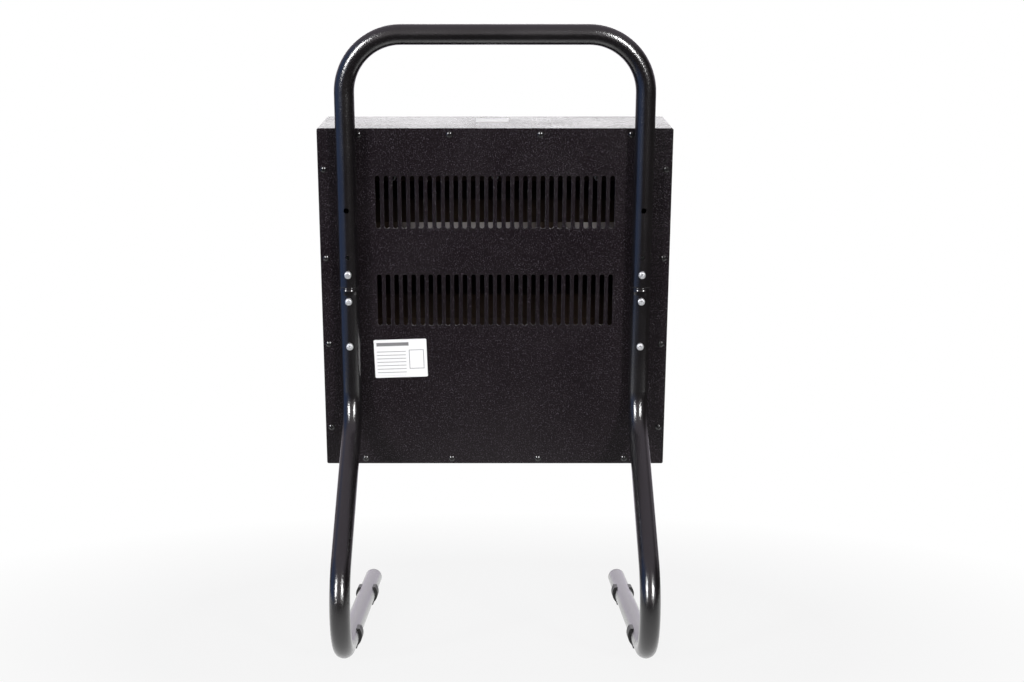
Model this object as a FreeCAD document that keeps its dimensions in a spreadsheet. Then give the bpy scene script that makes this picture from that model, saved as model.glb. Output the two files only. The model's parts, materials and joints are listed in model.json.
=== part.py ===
import FreeCAD, Part
import math
import os
import re
import Sketcher

doc = FreeCAD.newDocument("InfraredHeater")

# Driving sizes in millimetres and degrees
SIZES = {
    # bent tube stand
    "tube_od": 22,
    "tube_wall": 1.5,
    "leg_inset": 32.5,
    "stand_depth": 444,
    "bend_radius": 60,
    "leg_lean": 44.1,
    "unit_tilt": 13.2,
    "knee_height": 256,
    "knee_radius": 60,
    "unit_rise": 134.5,
    "panel_gap": 0.2,
    "handle_rise": 296.5,
    "handle_radius": 62,
    "seam_rise": 20.2,
    "seam_gap": 1.6,
    "sleeve_length": 64,
    "sleeve_wall": 1.2,
    "sleeve_clear": 0.15,
    "sleeve_screw": 15.2,
    "low_screw": 47,
    "upper_hole": 107.5,
    "upper_hole_d": 6,
    "lower_hole": 55,
    "lower_hole_d": 4.6,
    "plug_lip": 3,
    "plug_round": 1.8,
    "plug_length": 18,
    "clip_base": 3,
    "clip_wall": 2.7,
    "clip_length": 20,
    "clip_rear": 95,
    "clip_front": 125,
    "clip_grip": 8.5,
    "clip_pad": 16,
    "stand_screw_d": 4,
    "stand_head_d": 8,
    "stand_head_h": 3.2,
    "stand_screw_length": 30,
    "anchor_width": 18,
    "anchor_thick": 3,
    "anchor_margin": 14,
    "bolt_clear": 0.2,
    "thread_clear": 0.05,
    "seat_gap": 0.02,
    # sheet metal box
    "unit_width": 391,
    "unit_height": 390,
    "unit_depth": 105,
    "sheet": 1,
    "fold_inner": 1,
    "panel_thick": 1,
    "panel_corner": 2,
    "flange": 14,
    "edge_margin_x": 45.5,
    "edge_margin_z": 45,
    "edge_screw_inset": 6.5,
    "edge_screw_d": 3.5,
    "edge_head_d": 7,
    "edge_head_h": 2.4,
    "edge_screw_length": 8,
    "slot_width": 5,
    "slot_length": 59,
    "slot_pitch": 9.63,
    "slot_count": 28,
    "band_inset": 82,
    "band_gap": 111.6,
    "window_lip": 2,
    "window_corner": 6,
    "stud_d": 4,
    "stud_length": 9,
    "stud_nut_across": 7,
    "stud_nut_thick": 3.2,
    "label_width": 60,
    "label_height": 45,
    "label_thick": 0.15,
    "label_inset": 88,
    "label_fall": 68.7,
    "label_turn": 1.8,
    "top_label_width": 37,
    "top_label_depth": 32,
    "top_label_x": 3,
    "top_label_inset": 53.5,
    # reflector and lamps
    "reflector_thick": 0.8,
    "reflector_inset": 37.5,
    "trough_depth": 40,
    "waist_depth": 66,
    "waist_share": 0.736,
    "apex_share": 0.331,
    "ridge": 4,
    "flange_reach": 10,
    "reflector_stud_inset": 38,
    "lamp_inset": 130.4,
    "control_room": 73.55,
    "lamp_depth": 58,
    "lamp_d": 11,
    "lamp_wall": 1,
    "lamp_overhang": 2,
    "filament_d": 2,
    "support_d": 8.6,
    "support_count": 9,
    "support_thick": 0.5,
    "cap_d": 12,
    "cap_length": 18,
    "holder_length": 22,
    "holder_side": 24,
    "holder_clear": 0.2,
    "bracket_thick": 1,
    "bracket_gap": 0.2,
    "bracket_flange": 16,
    "bracket_stud_rise": 60,
    "bracket_lamp_clear": 2,
    "bracket_rear": 4,
    "shield_thick": 0.8,
    "shield_gap": 9,
    "shield_inset": 15.5,
    "shield_rear": 8,
    "shield_flange": 12,
    "shield_stud_inset": 40,
    "cutout_d": 16,
    "cutout_height": 9,
    "cutout_flange": 1,
    "cutout_tab": 24,
    "cutout_tab_width": 8,
    # wire guard
    "guard_rod": 5,
    "guard_wire": 2.4,
    "guard_stay": 3.5,
    "guard_pitch": 12,
    "guard_border": 8,
    "guard_corner": 14,
    "guard_clip_inset": 52,
    "guard_clip_width": 12,
    "guard_clip_reach": 10,
    "guard_clip_tail": 5,
    "guard_clip_sheet": 1,
    "guard_clip_clear": 0.4,
    "guard_screw_d": 3,
    "guard_head_d": 6,
    "guard_head_h": 2.2,
    "guard_screw_length": 6,
    "guard_weld": 0.7,
    "guard_seat": 0.1,
    # controls
    "selector_inset": 83.5,
    "selector_lift": 2,
    "switch_side": 30,
    "switch_depth": 26,
    "bush_d": 9.5,
    "bush_length": 9,
    "bush_nut_across": 14,
    "bush_nut_thick": 3,
    "shaft_d": 6,
    "shaft_clear": 0.05,
    "shaft_hold": 20,
    "knob_d": 38,
    "knob_base": 9,
    "knob_bar": 11,
    "knob_height": 19,
    "knob_gap": 1.4,
    "knob_well": 8,
    "knob_well_d": 20,
    "knob_roof": 3,
    "knob_disc_round": 2,
    "knob_bar_round": 3,
    "dial_d": 54,
    "dial_hole_d": 18,
    "dial_thick": 0.4,
    # tip over switch
    "tip_x": 20,
    "tip_y": 34,
    "tip_width": 32,
    "tip_depth": 28,
    "tip_height": 36,
    "tip_base": 20,
    "tip_wall": 1.5,
    "tip_plate": 1,
    "tip_foot": 22,
    "pin_d": 2.4,
    "pin_drop": 7,
    "pin_clear": 0.05,
    "bob_d": 11,
    "bob_width": 14,
    "bob_drop": 18,
    "bob_arm": 4,
    "bob_eye_d": 6.4,
    # supply
    "gland_inset": 75.5,
    "gland_front": 35,
    "gland_d": 16,
    "gland_bore": 9,
    "gland_barrel": 8,
    "gland_across": 20,
    "gland_flange": 5,
    "gland_neck_d": 14.4,
    "gland_neck": 13,
    "gland_seal_h": 3,
    "gland_cap_d": 18,
    "gland_cap_reach": 22,
    "gland_cap_gap": 1,
    "gland_cap_round": 4,
    "locknut_across": 22,
    "locknut_thick": 4,
    "terminal_step": 60,
    "terminal_y": 62,
    "terminal_width": 50,
    "terminal_depth": 20,
    "terminal_height": 16,
    "terminal_pitch": 11,
    "terminal_screw_y": 5,
    "terminal_screw_d": 3,
    "terminal_head_d": 5,
    "terminal_head_h": 1.6,
    "terminal_screw_length": 7,
    "lead_d": 2.6,
    "lead_y": 57,
    "lead_inset": 8.5,
    "lead_step": 4,
}

# Sizes that follow from the driving ones
FORMULAS = {
    "tube_r": "tube_od / 2",
    "bolt_hole": "stand_screw_d + 2 * bolt_clear",
    "bolt_thread": "stand_screw_d + 2 * thread_clear",
    "edge_hole": "edge_screw_d + 2 * bolt_clear",
    "edge_thread": "edge_screw_d + 2 * thread_clear",
    "stud_hole": "stud_d + 2 * bolt_clear",
    "guard_hole": "guard_screw_d + 2 * bolt_clear",
    "guard_thread": "guard_screw_d + 2 * thread_clear",
    "gland_hole": "gland_d + 2 * thread_clear",
    "stud_x": "bracket_out + bracket_flange / 2",
    "leg_x": "half_w - leg_inset",
    "foot_z": "clip_base + tube_r",
    "bend_y": "stand_depth / 2 - tube_r - bend_radius",
    "bend_end_y": "bend_y + bend_radius * cos(leg_lean)",
    "bend_end_z": "foot_z + bend_radius + bend_radius * sin(leg_lean)",
    "heel_y": "bend_end_y + (bend_end_z - foot_z) * tan(leg_lean)",
    "knee_y": "bend_end_y - (knee_height - bend_end_z) * tan(leg_lean)",
    "stand_off": "tube_r + panel_gap",
    "unit_y": "knee_y + unit_rise * sin(unit_tilt) - stand_off * cos(unit_tilt)",
    "unit_z": "knee_height + unit_rise * cos(unit_tilt) + stand_off * sin(unit_tilt)",
    "foot_end_y": "plug_lip - stand_depth / 2",
    "leg_top": "unit_rise + seam_rise - seam_gap / 2",
    "handle_foot": "seam_rise + seam_gap / 2",
    "half_w": "unit_width / 2",
    "half_h": "unit_height / 2",
    "front_in": "unit_depth - sheet",
    "band_high": "half_h - band_inset",
    "band_low": "band_high - band_gap",
    "lamp_high": "half_h - lamp_inset",
    "lamp_low": "reflector_foot + mouth",
    "lamp_mid": "(lamp_high + lamp_low) / 2",
    "lamp_pitch": "lamp_high - lamp_low",
    "shield_z": "control_room - half_h",
    "reflector_foot": "shield_z + shield_gap + flange_reach",
    "mouth": "(lamp_high - reflector_foot - ridge) / 3",
    "waist_half": "mouth * waist_share",
    "apex_half": "mouth * apex_share",
    "reflector_half": "half_w - reflector_inset",
    "reflector_length": "2 * reflector_half",
    "reflector_stud_x": "reflector_half - reflector_stud_inset",
    "lamp_length": "reflector_length + 2 * lamp_overhang",
    "window_half": "reflector_half - 2 * window_lip",
    "window_rise": "lamp_pitch / 2 + mouth - window_lip",
    "bracket_out": "reflector_half + bracket_gap + bracket_thick",
    "cap_out": "lamp_length / 2 + cap_length",
    "holder_out": "bracket_out + holder_length",
    "shield_width": "unit_width - 2 * shield_inset",
    "shield_stud_x": "shield_width / 2 - shield_stud_inset",
    "guard_half": "window_half + guard_border",
    "guard_clip_x": "guard_half - guard_clip_inset",
    "guard_rise": "window_rise + guard_border",
    "guard_count": "floor(2 * guard_rise / guard_pitch) - 1",
    "guard_y": "unit_depth + guard_rod / 2 + guard_seat",
    "wire_y": "guard_y + guard_rod / 2 - guard_weld",
    "stay_y": "wire_y + guard_weld - guard_wire / 2 - guard_stay / 2",
    "selector_x": "half_w - selector_inset",
    "selector_drop": "(floor_in + shield_flange - shield_z) / 2 - selector_lift",
    "dial_y": "unit_depth + dial_thick",
    "knob_y": "unit_depth + knob_gap",
    "knob_hub": "knob_y + knob_well",
    "shaft_end": "knob_y + knob_height - knob_roof",
    "floor_in": "half_h - sheet",
    "label_x": "half_w - label_inset",
    "label_drop": "label_fall - band_low",
    "gland_x": "half_w - gland_inset",
    "gland_y": "unit_depth - gland_front",
    "terminal_x": "gland_x - terminal_step",
    "terminal_top": "floor_in - terminal_height",
    "tip_in": "tip_plate / 2",
    "pin_z": "tip_base + tip_height - pin_drop",
    "pin_y": "tip_in + tip_depth / 2",
    "neck_end": "half_h + gland_neck",
    "seal_end": "neck_end + gland_seal_h",
    "cap_end": "half_h + gland_cap_reach",
}

UNIT = "placement(vector(0; unit_y; unit_z); rotation(vector(1; 0; 0); -unit_tilt))"
TIP = UNIT + (
    " * placement(vector(tip_x; -tip_y; tip_in - floor_in);"
    " rotation(vector(1; 0; 0); unit_tilt))"
)

sheet = doc.addObject("Spreadsheet::Sheet", "Sizes")
for row, (alias, number) in enumerate(SIZES.items(), start=1):
    sheet.set(f"A{row}", str(number))
    sheet.setAlias(f"A{row}", alias)
doc.recompute()

nodes = []


# Formulas and binding
def formula(text):
    def swap(found):
        word = found.group(0)
        if word in FORMULAS:
            return "(" + formula(FORMULAS[word]) + ")"
        if word in SIZES:
            return "Sizes." + word
        return word

    return re.sub(r"[a-z][a-z_]*", swap, text)


def value(text):
    result = sheet.evalExpression(formula(text))
    return float(getattr(result, "Value", result))


def bind(item, prop, text):
    item.setExpression(prop, formula(text))


def node(label, item, place=None):
    if place:
        bind(item, "Placement", place)
    item.Label = label
    nodes.append(item)


# Primitive solids and booleans
def put(item, at):
    for letter, text in zip("xyz", at):
        bind(item, "Placement.Base." + letter, text)


def block(name, corner, size):
    item = doc.addObject("Part::Box", name)
    for prop, text in zip(("Length", "Width", "Height"), size):
        bind(item, prop, text)
    put(item, corner)
    return item


TURNS = {
    "X": FreeCAD.Rotation(FreeCAD.Vector(0, 1, 0), 90),
    "Y": FreeCAD.Rotation(FreeCAD.Vector(1, 0, 0), -90),
    "Z": FreeCAD.Rotation(),
}


def rod(name, diameter, length, start, axis):
    item = doc.addObject("Part::Cylinder", name)
    bind(item, "Radius", f"({diameter}) / 2")
    bind(item, "Height", length)
    item.Placement = FreeCAD.Placement(FreeCAD.Vector(), TURNS[axis])
    put(item, start)
    return item


def hexagon(name, across, length, start, axis):
    item = doc.addObject("Part::Prism", name)
    item.Polygon = 6
    bind(item, "Circumradius", f"({across}) / 2 / cos(30)")
    bind(item, "Height", length)
    item.Placement = FreeCAD.Placement(FreeCAD.Vector(), TURNS[axis])
    put(item, start)
    return item


def cut(name, base, *tools):
    item = doc.addObject("Part::Cut", name)
    item.Base = base
    if len(tools) == 1:
        item.Tool = tools[0]
    else:
        group = doc.addObject("Part::Compound", name + "_tools")
        group.Links = list(tools)
        item.Tool = group
    return item


def fuse(name, *pieces):
    item = doc.addObject("Part::MultiFuse", name)
    item.Shapes = list(pieces)
    item.Refine = True
    return item


def rounded(name, base, radius, choose):
    doc.recompute()
    item = doc.addObject("Part::Fillet", name)
    item.Base = base
    size = value(radius)
    item.Edges = [
        (number, size, size)
        for number, edge in enumerate(base.Shape.Edges, start=1)
        if choose(edge)
    ]
    return item


def formed(name, shape):
    item = doc.addObject("Part::Feature", name)
    item.Shape = shape
    return item


def single(name, *pieces):
    item = doc.addObject("Part::Compound", name)
    item.Links = list(pieces)
    return item


# Sketches inside a body
def sketch_on(body, name, role):
    plane = next(f for f in body.Origin.OriginFeatures if f.Role == role)
    drawn = body.newObject("Sketcher::SketchObject", name)
    drawn.AttachmentSupport = [(plane, "")]
    drawn.MapMode = "FlatFace"
    return drawn


def pin_point(drawn, shape, point, across, up):
    for kind, text in (("DistanceX", across), ("DistanceY", up)):
        index = drawn.addConstraint(Sketcher.Constraint(kind, -1, 1, shape, point, value(text)))
        bind(drawn, f"Constraints[{index}]", text)


def set_radius(drawn, shape, text):
    index = drawn.addConstraint(Sketcher.Constraint("Radius", shape, value(text)))
    bind(drawn, f"Constraints[{index}]", text)


def circle(drawn, diameter, across, up):
    centre = FreeCAD.Vector(value(across), value(up), 0)
    normal = FreeCAD.Vector(0, 0, 1)
    shape = drawn.addGeometry(Part.Circle(centre, normal, value(diameter) / 2), False)
    set_radius(drawn, shape, f"({diameter}) / 2")
    pin_point(drawn, shape, 3, across, up)


def rectangle(drawn, across, up, width, height):
    x0 = value(f"{across} - ({width}) / 2")
    x1 = value(f"{across} + ({width}) / 2")
    y0 = value(f"{up} - ({height}) / 2")
    y1 = value(f"{up} + ({height}) / 2")
    corners = [(x0, y0), (x1, y0), (x1, y1), (x0, y1)]
    lines = []
    for start, end in zip(corners, corners[1:] + corners[:1]):
        line = Part.LineSegment(FreeCAD.Vector(*start, 0), FreeCAD.Vector(*end, 0))
        lines.append(drawn.addGeometry(line, False))
    for first, second in zip(lines, lines[1:] + lines[:1]):
        drawn.addConstraint(Sketcher.Constraint("Coincident", first, 2, second, 1))
    for line, kind in zip(lines, ("Horizontal", "Vertical", "Horizontal", "Vertical")):
        drawn.addConstraint(Sketcher.Constraint(kind, line))
    pin_point(drawn, lines[0], 1, f"{across} - ({width}) / 2", f"{up} - ({height}) / 2")
    pin_point(drawn, lines[2], 1, f"{across} + ({width}) / 2", f"{up} + ({height}) / 2")


def upright_slot(drawn, across, up, width, length):
    middle = value(across)
    half = value(width) / 2
    reach = value(f"({length} - {width}) / 2")
    low = value(up) - reach
    high = value(up) + reach
    normal = FreeCAD.Vector(0, 0, 1)
    top_ring = Part.Circle(FreeCAD.Vector(middle, high, 0), normal, half)
    low_ring = Part.Circle(FreeCAD.Vector(middle, low, 0), normal, half)
    top = drawn.addGeometry(Part.ArcOfCircle(top_ring, 0, math.pi), False)
    low_arc = drawn.addGeometry(Part.ArcOfCircle(low_ring, math.pi, 2 * math.pi), False)
    left_line = Part.LineSegment(
        FreeCAD.Vector(middle - half, high, 0), FreeCAD.Vector(middle - half, low, 0)
    )
    right_line = Part.LineSegment(
        FreeCAD.Vector(middle + half, low, 0), FreeCAD.Vector(middle + half, high, 0)
    )
    left = drawn.addGeometry(left_line, False)
    right = drawn.addGeometry(right_line, False)
    drawn.addConstraint(Sketcher.Constraint("Tangent", top, 2, left, 1))
    drawn.addConstraint(Sketcher.Constraint("Tangent", left, 2, low_arc, 1))
    drawn.addConstraint(Sketcher.Constraint("Tangent", low_arc, 2, right, 1))
    drawn.addConstraint(Sketcher.Constraint("Tangent", right, 2, top, 1))
    set_radius(drawn, top, f"{width} / 2")
    pin_point(drawn, top, 3, across, f"{up} + ({length} - {width}) / 2")
    pin_point(drawn, low_arc, 3, across, f"{up} - ({length} - {width}) / 2")


def bent_line(drawn, corners, radii):
    spots = [FreeCAD.Vector(value(across), value(up), 0) for across, up in corners]
    normal = FreeCAD.Vector(0, 0, 1)
    starts = [spots[0]]
    ends = []
    arcs = []
    entries = []
    for before, corner, after, radius in zip(spots, spots[1:], spots[2:], radii):
        back = (before - corner).normalize()
        ahead = (after - corner).normalize()
        turn = math.pi - back.getAngle(ahead)
        size = value(radius)
        reach = size * math.tan(turn / 2)
        centre = corner + (back + ahead).normalize() * (size / math.cos(turn / 2))
        ends.append(corner + back * reach)
        starts.append(corner + ahead * reach)
        entry = 1 if ahead.cross(back).z > 0 else 2
        first, last = (ends[-1], starts[-1]) if entry == 1 else (starts[-1], ends[-1])
        from_angle = math.atan2(first.y - centre.y, first.x - centre.x)
        to_angle = math.atan2(last.y - centre.y, last.x - centre.x)
        arcs.append(Part.ArcOfCircle(Part.Circle(centre, normal, size), from_angle, to_angle))
        entries.append(entry)
    ends.append(spots[-1])
    lines = []
    bows = []
    for number, (start, end) in enumerate(zip(starts, ends)):
        lines.append(drawn.addGeometry(Part.LineSegment(start, end), False))
        if number < len(arcs):
            bows.append(drawn.addGeometry(arcs[number], False))
    marks = []
    for spot in spots[1:-1]:
        marks.append(drawn.addGeometry(Part.Point(spot), True))
    for mark, (across, up) in zip(marks, corners[1:-1]):
        pin_point(drawn, mark, 1, across, up)
    pin_point(drawn, lines[0], 1, *corners[0])
    pin_point(drawn, lines[-1], 2, *corners[-1])
    for number, mark in enumerate(marks):
        drawn.addConstraint(Sketcher.Constraint("PointOnObject", mark, 1, lines[number]))
        drawn.addConstraint(Sketcher.Constraint("PointOnObject", mark, 1, lines[number + 1]))
        bow = bows[number]
        entry = entries[number]
        drawn.addConstraint(Sketcher.Constraint("Tangent", lines[number], 2, bow, entry))
        drawn.addConstraint(Sketcher.Constraint("Tangent", lines[number + 1], 1, bow, 3 - entry))
        set_radius(drawn, bow, radii[number])


def bent_tube(name, spine_plane, corners, radii, ring_plane, ring_offset, ring_spot):
    body = doc.addObject("PartDesign::Body", name)
    doc.recompute()
    spine = sketch_on(body, name + "_line", spine_plane)
    bent_line(spine, corners, radii)
    ring = sketch_on(body, name + "_ring", ring_plane)
    bind(ring, "AttachmentOffset.Base.z", ring_offset)
    circle(ring, "tube_od", *ring_spot)
    circle(ring, "tube_od - 2 * tube_wall", *ring_spot)
    doc.recompute()
    pipe = body.newObject("PartDesign::AdditivePipe", name + "_pipe")
    pipe.Profile = ring
    pipe.Spine = spine
    return body


# Bent sheet strips and bent wires from lists of corners
def strip(points, thick, start, length):
    left = []
    right = []
    for number, (across, up) in enumerate(points):
        sides = []
        for first, second in ((number - 1, number), (number, number + 1)):
            if first >= 0 and second < len(points):
                run = points[second][0] - points[first][0]
                rise = points[second][1] - points[first][1]
                span = math.hypot(run, rise)
                sides.append((-rise / span, run / span))
        first_side = sides[0]
        last_side = sides[-1]
        scale = thick / 2 / (1 + first_side[0] * last_side[0] + first_side[1] * last_side[1])
        out = (first_side[0] + last_side[0]) * scale
        over = (first_side[1] + last_side[1]) * scale
        left.append((across + out, up + over))
        right.append((across - out, up - over))
    outline = [FreeCAD.Vector(start, across, up) for across, up in left + right[::-1]]
    face = Part.Face(Part.makePolygon(outline + outline[:1]))
    return face.extrude(FreeCAD.Vector(length, 0, 0))


ARC_SHARE = 0.45


def bent_wire(points, diameter, radius=None):
    spots = [FreeCAD.Vector(*point) for point in points]
    edges = []
    last = spots[0]
    for before, corner, after in zip(spots, spots[1:], spots[2:]):
        back = (before - corner).normalize()
        ahead = (after - corner).normalize()
        half_turn = (math.pi - back.getAngle(ahead)) / 2
        room = ARC_SHARE * min((before - corner).Length, (after - corner).Length)
        size = radius or room / math.tan(half_turn)
        reach = size * math.tan(half_turn)
        centre = corner + (back + ahead).normalize() * (size / math.cos(half_turn))
        middle = centre + (corner - centre).normalize() * size
        edges.append(Part.LineSegment(last, corner + back * reach).toShape())
        edges.append(Part.Arc(corner + back * reach, middle, corner + ahead * reach).toShape())
        last = corner + ahead * reach
    edges.append(Part.LineSegment(last, spots[-1]).toShape())
    ring = Part.Circle(spots[0], spots[1] - spots[0], diameter / 2).toShape()
    return Part.Wire(edges).makePipeShell([Part.Wire([ring])], True, False)


# Pan head screws with a cross recess, head up at the origin, in shares of the head's size
PAN_ROUND = 0.55
RECESS_REACH = 0.56
RECESS_WIDTH = 0.15
RECESS_DEPTH = 0.5


def pan_screw(head_d, head_h, shank_d, shank_length):
    head = Part.makeCylinder(head_d / 2, head_h)
    rim = [edge for edge in head.Edges if edge.BoundBox.ZMin > head_h / 2]
    head = head.makeFillet(head_h * PAN_ROUND, rim)
    wide = head_d * RECESS_REACH
    slim = head_d * RECESS_WIDTH
    deep = head_h * RECESS_DEPTH
    first = Part.makeBox(wide, slim, deep, FreeCAD.Vector(-wide / 2, -slim / 2, head_h - deep))
    second = Part.makeBox(slim, wide, deep, FreeCAD.Vector(-slim / 2, -wide / 2, head_h - deep))
    head = head.cut(first.fuse(second))
    shank = Part.makeCylinder(shank_d / 2, shank_length, FreeCAD.Vector(0, 0, -shank_length))
    return head.fuse(shank).removeSplitter()


REAR = FreeCAD.Rotation(FreeCAD.Vector(1, 0, 0), -90)
FRONT = FreeCAD.Rotation(FreeCAD.Vector(1, 0, 0), 90)
UPWARD = FreeCAD.Rotation()


def copies(shape, spots, turn):
    solids = []
    for spot in spots:
        solid = shape.copy()
        solid.Placement = FreeCAD.Placement(FreeCAD.Vector(*spot), turn)
        solids.append(solid)
    return Part.makeCompound(solids)


# Handle tube, an upright U that rises over the box
handle = bent_tube(
    "handle_body",
    "XZ_Plane",
    [
        ("-leg_x", "handle_foot"),
        ("-leg_x", "handle_rise"),
        ("leg_x", "handle_rise"),
        ("leg_x", "handle_foot"),
    ],
    ["handle_radius", "handle_radius"],
    "XY_Plane",
    "handle_foot",
    ("-leg_x", "0"),
)
handle_tools = []
for side, sign in (("left", "-"), ("right", "")):
    spot = sign + "leg_x"
    rise = "seam_rise + sleeve_screw"
    handle_tools.append(
        rod(side + "_upper_access", "upper_hole_d", "tube_od", (spot, "0", "upper_hole"), "Y")
    )
    handle_tools.append(
        rod(side + "_lower_access", "lower_hole_d", "tube_od", (spot, "0", "lower_hole"), "Y")
    )
    handle_tools.append(
        rod(side + "_handle_bolt", "bolt_hole", "2 * tube_od", (spot, "-tube_od", rise), "Y")
    )
handle_cut = cut("handle_cut", handle, *handle_tools)
node(
    "handle_tube",
    handle_cut,
    UNIT + " * placement(vector(0; stand_off; 0); rotation(vector(1; 0; 0); 0))",
)

# Leg tubes, each bent at the knee and at the heel and running forward as a foot
for side, sign in (("left", "-"), ("right", "")):
    leg = bent_tube(
        side + "_leg_body",
        "YZ_Plane",
        [
            ("foot_end_y", "foot_z"),
            ("heel_y", "foot_z"),
            ("knee_y", "knee_height"),
            ("knee_y + leg_top * sin(unit_tilt)", "knee_height + leg_top * cos(unit_tilt)"),
        ],
        ["bend_radius", "knee_radius"],
        "XZ_Plane",
        "-foot_end_y",
        ("0", "foot_z"),
    )
    bind(leg, "Placement.Base.x", sign + "leg_x")
    leg_tools = []
    for number, rise in enumerate(("seam_rise - sleeve_screw", "-low_screw")):
        tool = rod(f"{side}_leg_bolt_{number}", "bolt_hole", "2 * tube_od", ("0", "0", "0"), "Y")
        bind(
            tool,
            "Placement",
            UNIT
            + f" * placement(vector({sign}leg_x; stand_off - tube_od; {rise});"
            + " rotation(vector(1; 0; 0); -90))",
        )
        leg_tools.append(tool)
    node(side + "_leg_tube", cut(side + "_leg_cut", leg, *leg_tools))

# Joining sleeves inside the seam between handle and leg
for side, sign in (("left", "-"), ("right", "")):
    start = (sign + "leg_x", "stand_off", "seam_rise - sleeve_length / 2")
    outer = "tube_od - 2 * tube_wall - 2 * sleeve_clear"
    solid = rod(side + "_sleeve_solid", outer, "sleeve_length", start, "Z")
    bore = rod(side + "_sleeve_bore", outer + " - 2 * sleeve_wall", "sleeve_length", start, "Z")
    bolts = []
    for number, step in enumerate(("-", "+")):
        spot = (sign + "leg_x", "stand_off - tube_od", f"seam_rise {step} sleeve_screw")
        bolts.append(rod(f"{side}_sleeve_bolt_{number}", "bolt_hole", "2 * tube_od", spot, "Y"))
    node(side + "_joining_sleeve", cut(side + "_sleeve_cut", solid, bore, *bolts), UNIT)

# Stand screws and the threaded strips that take them behind the rear panel
stand_rows = ("seam_rise + sleeve_screw", "seam_rise - sleeve_screw", "-low_screw")
stand_spots = []
for sign in ("-", ""):
    for rise in stand_rows:
        seat = "stand_off + tube_r + seat_gap"
        stand_spots.append((value(sign + "leg_x"), value(seat), value(rise)))
stand_screw = pan_screw(
    value("stand_head_d"), value("stand_head_h"), value("stand_screw_d"), value("stand_screw_length")
)
node("stand_screws", formed("stand_screw_group", copies(stand_screw, stand_spots, REAR)), UNIT)

for side, sign in (("left", "-"), ("right", "")):
    plate = block(
        side + "_anchor_plate",
        (
            sign + "leg_x - anchor_width / 2",
            "-panel_thick - anchor_thick",
            "-low_screw - anchor_margin",
        ),
        (
            "anchor_width",
            "anchor_thick",
            "seam_rise + sleeve_screw + low_screw + 2 * anchor_margin",
        ),
    )
    threads = []
    for number, rise in enumerate(stand_rows):
        spot = (sign + "leg_x", "-unit_depth / 2", rise)
        threads.append(rod(f"{side}_anchor_thread_{number}", "bolt_thread", "unit_depth", spot, "Y"))
    node(side + "_anchor_strip", cut(side + "_anchor_cut", plate, *threads), UNIT)

# Foot plugs in the open front ends of the legs
for side, sign in (("left", "-"), ("right", "")):
    lip = rod(side + "_plug_lip", "tube_od", "plug_lip", (sign + "leg_x", "-stand_depth / 2", "foot_z"), "Y")
    round_lip = rounded(
        side + "_plug_round",
        lip,
        "plug_round",
        lambda edge: edge.BoundBox.YMax < value("0.1 - stand_depth / 2") and edge.BoundBox.XLength > 1,
    )
    spigot = rod(
        side + "_plug_spigot",
        "tube_od - 2 * tube_wall - 2 * sleeve_clear",
        "plug_length",
        (sign + "leg_x", "foot_end_y", "foot_z"),
        "Y",
    )
    node(side + "_foot_plug", fuse(side + "_plug_whole", round_lip, spigot))

# Saddle clips under the feet, flat below
for side, sign in (("left", "-"), ("right", "")):
    for end, spot in (("rear", "clip_rear"), ("front", "-clip_front")):
        name = f"{end}_{side}_clip"
        start = (sign + "leg_x", spot + " - clip_length / 2", "foot_z")
        shell = rod(name + "_shell", "tube_od + 2 * clip_wall", "clip_length", start, "Y")
        pad = block(
            name + "_pad",
            (sign + "leg_x - clip_pad / 2", spot + " - clip_length / 2", "0"),
            ("clip_pad", "clip_length", "foot_z"),
        )
        seat = rod(name + "_seat", "tube_od + 2 * thread_clear", "clip_length", start, "Y")
        top = block(
            name + "_top",
            (sign + "leg_x - tube_od", spot + " - clip_length / 2", "foot_z + clip_grip"),
            ("2 * tube_od", "clip_length", "tube_od"),
        )
        node(f"{end}_{side}_foot_clip", cut(name + "_cut", fuse(name + "_whole", shell, pad), seat, top))

# Rear panel with two bands of slots
panel = doc.addObject("PartDesign::Body", "rear_panel_body")
doc.recompute()
outline = sketch_on(panel, "panel_outline", "XZ_Plane")
rectangle(outline, "0", "0", "unit_width", "unit_height")
plate = panel.newObject("PartDesign::Pad", "panel_plate")
plate.Profile = outline
bind(plate, "Length", "panel_thick")
doc.recompute()
corners = panel.newObject("PartDesign::Fillet", "panel_corners")
corners.Base = (
    plate,
    [
        f"Edge{number}"
        for number, edge in enumerate(plate.Shape.Edges, start=1)
        if edge.BoundBox.XLength < 0.01 and edge.BoundBox.ZLength < 0.01
    ],
)
bind(corners, "Radius", "panel_corner")
doc.recompute()
slot_sketch = sketch_on(panel, "panel_slot", "XZ_Plane")
upright_slot(slot_sketch, "-slot_pitch * (slot_count - 1) / 2", "band_low", "slot_width", "slot_length")
slot = panel.newObject("PartDesign::Pocket", "panel_slot_cut")
slot.Profile = slot_sketch
slot.Type = "ThroughAll"
slot.Reversed = True
doc.recompute()
bands = panel.newObject("PartDesign::LinearPattern", "panel_slot_rows")
bands.Originals = [slot]
bands.Direction = (slot_sketch, ["H_Axis"])
bind(bands, "Length", "slot_pitch * (slot_count - 1)")
bind(bands, "Occurrences", "slot_count")
bands.Direction2 = (slot_sketch, ["V_Axis"])
bind(bands, "Length2", "band_gap")
bands.Occurrences2 = 2
panel.Tip = bands
doc.recompute()

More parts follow.
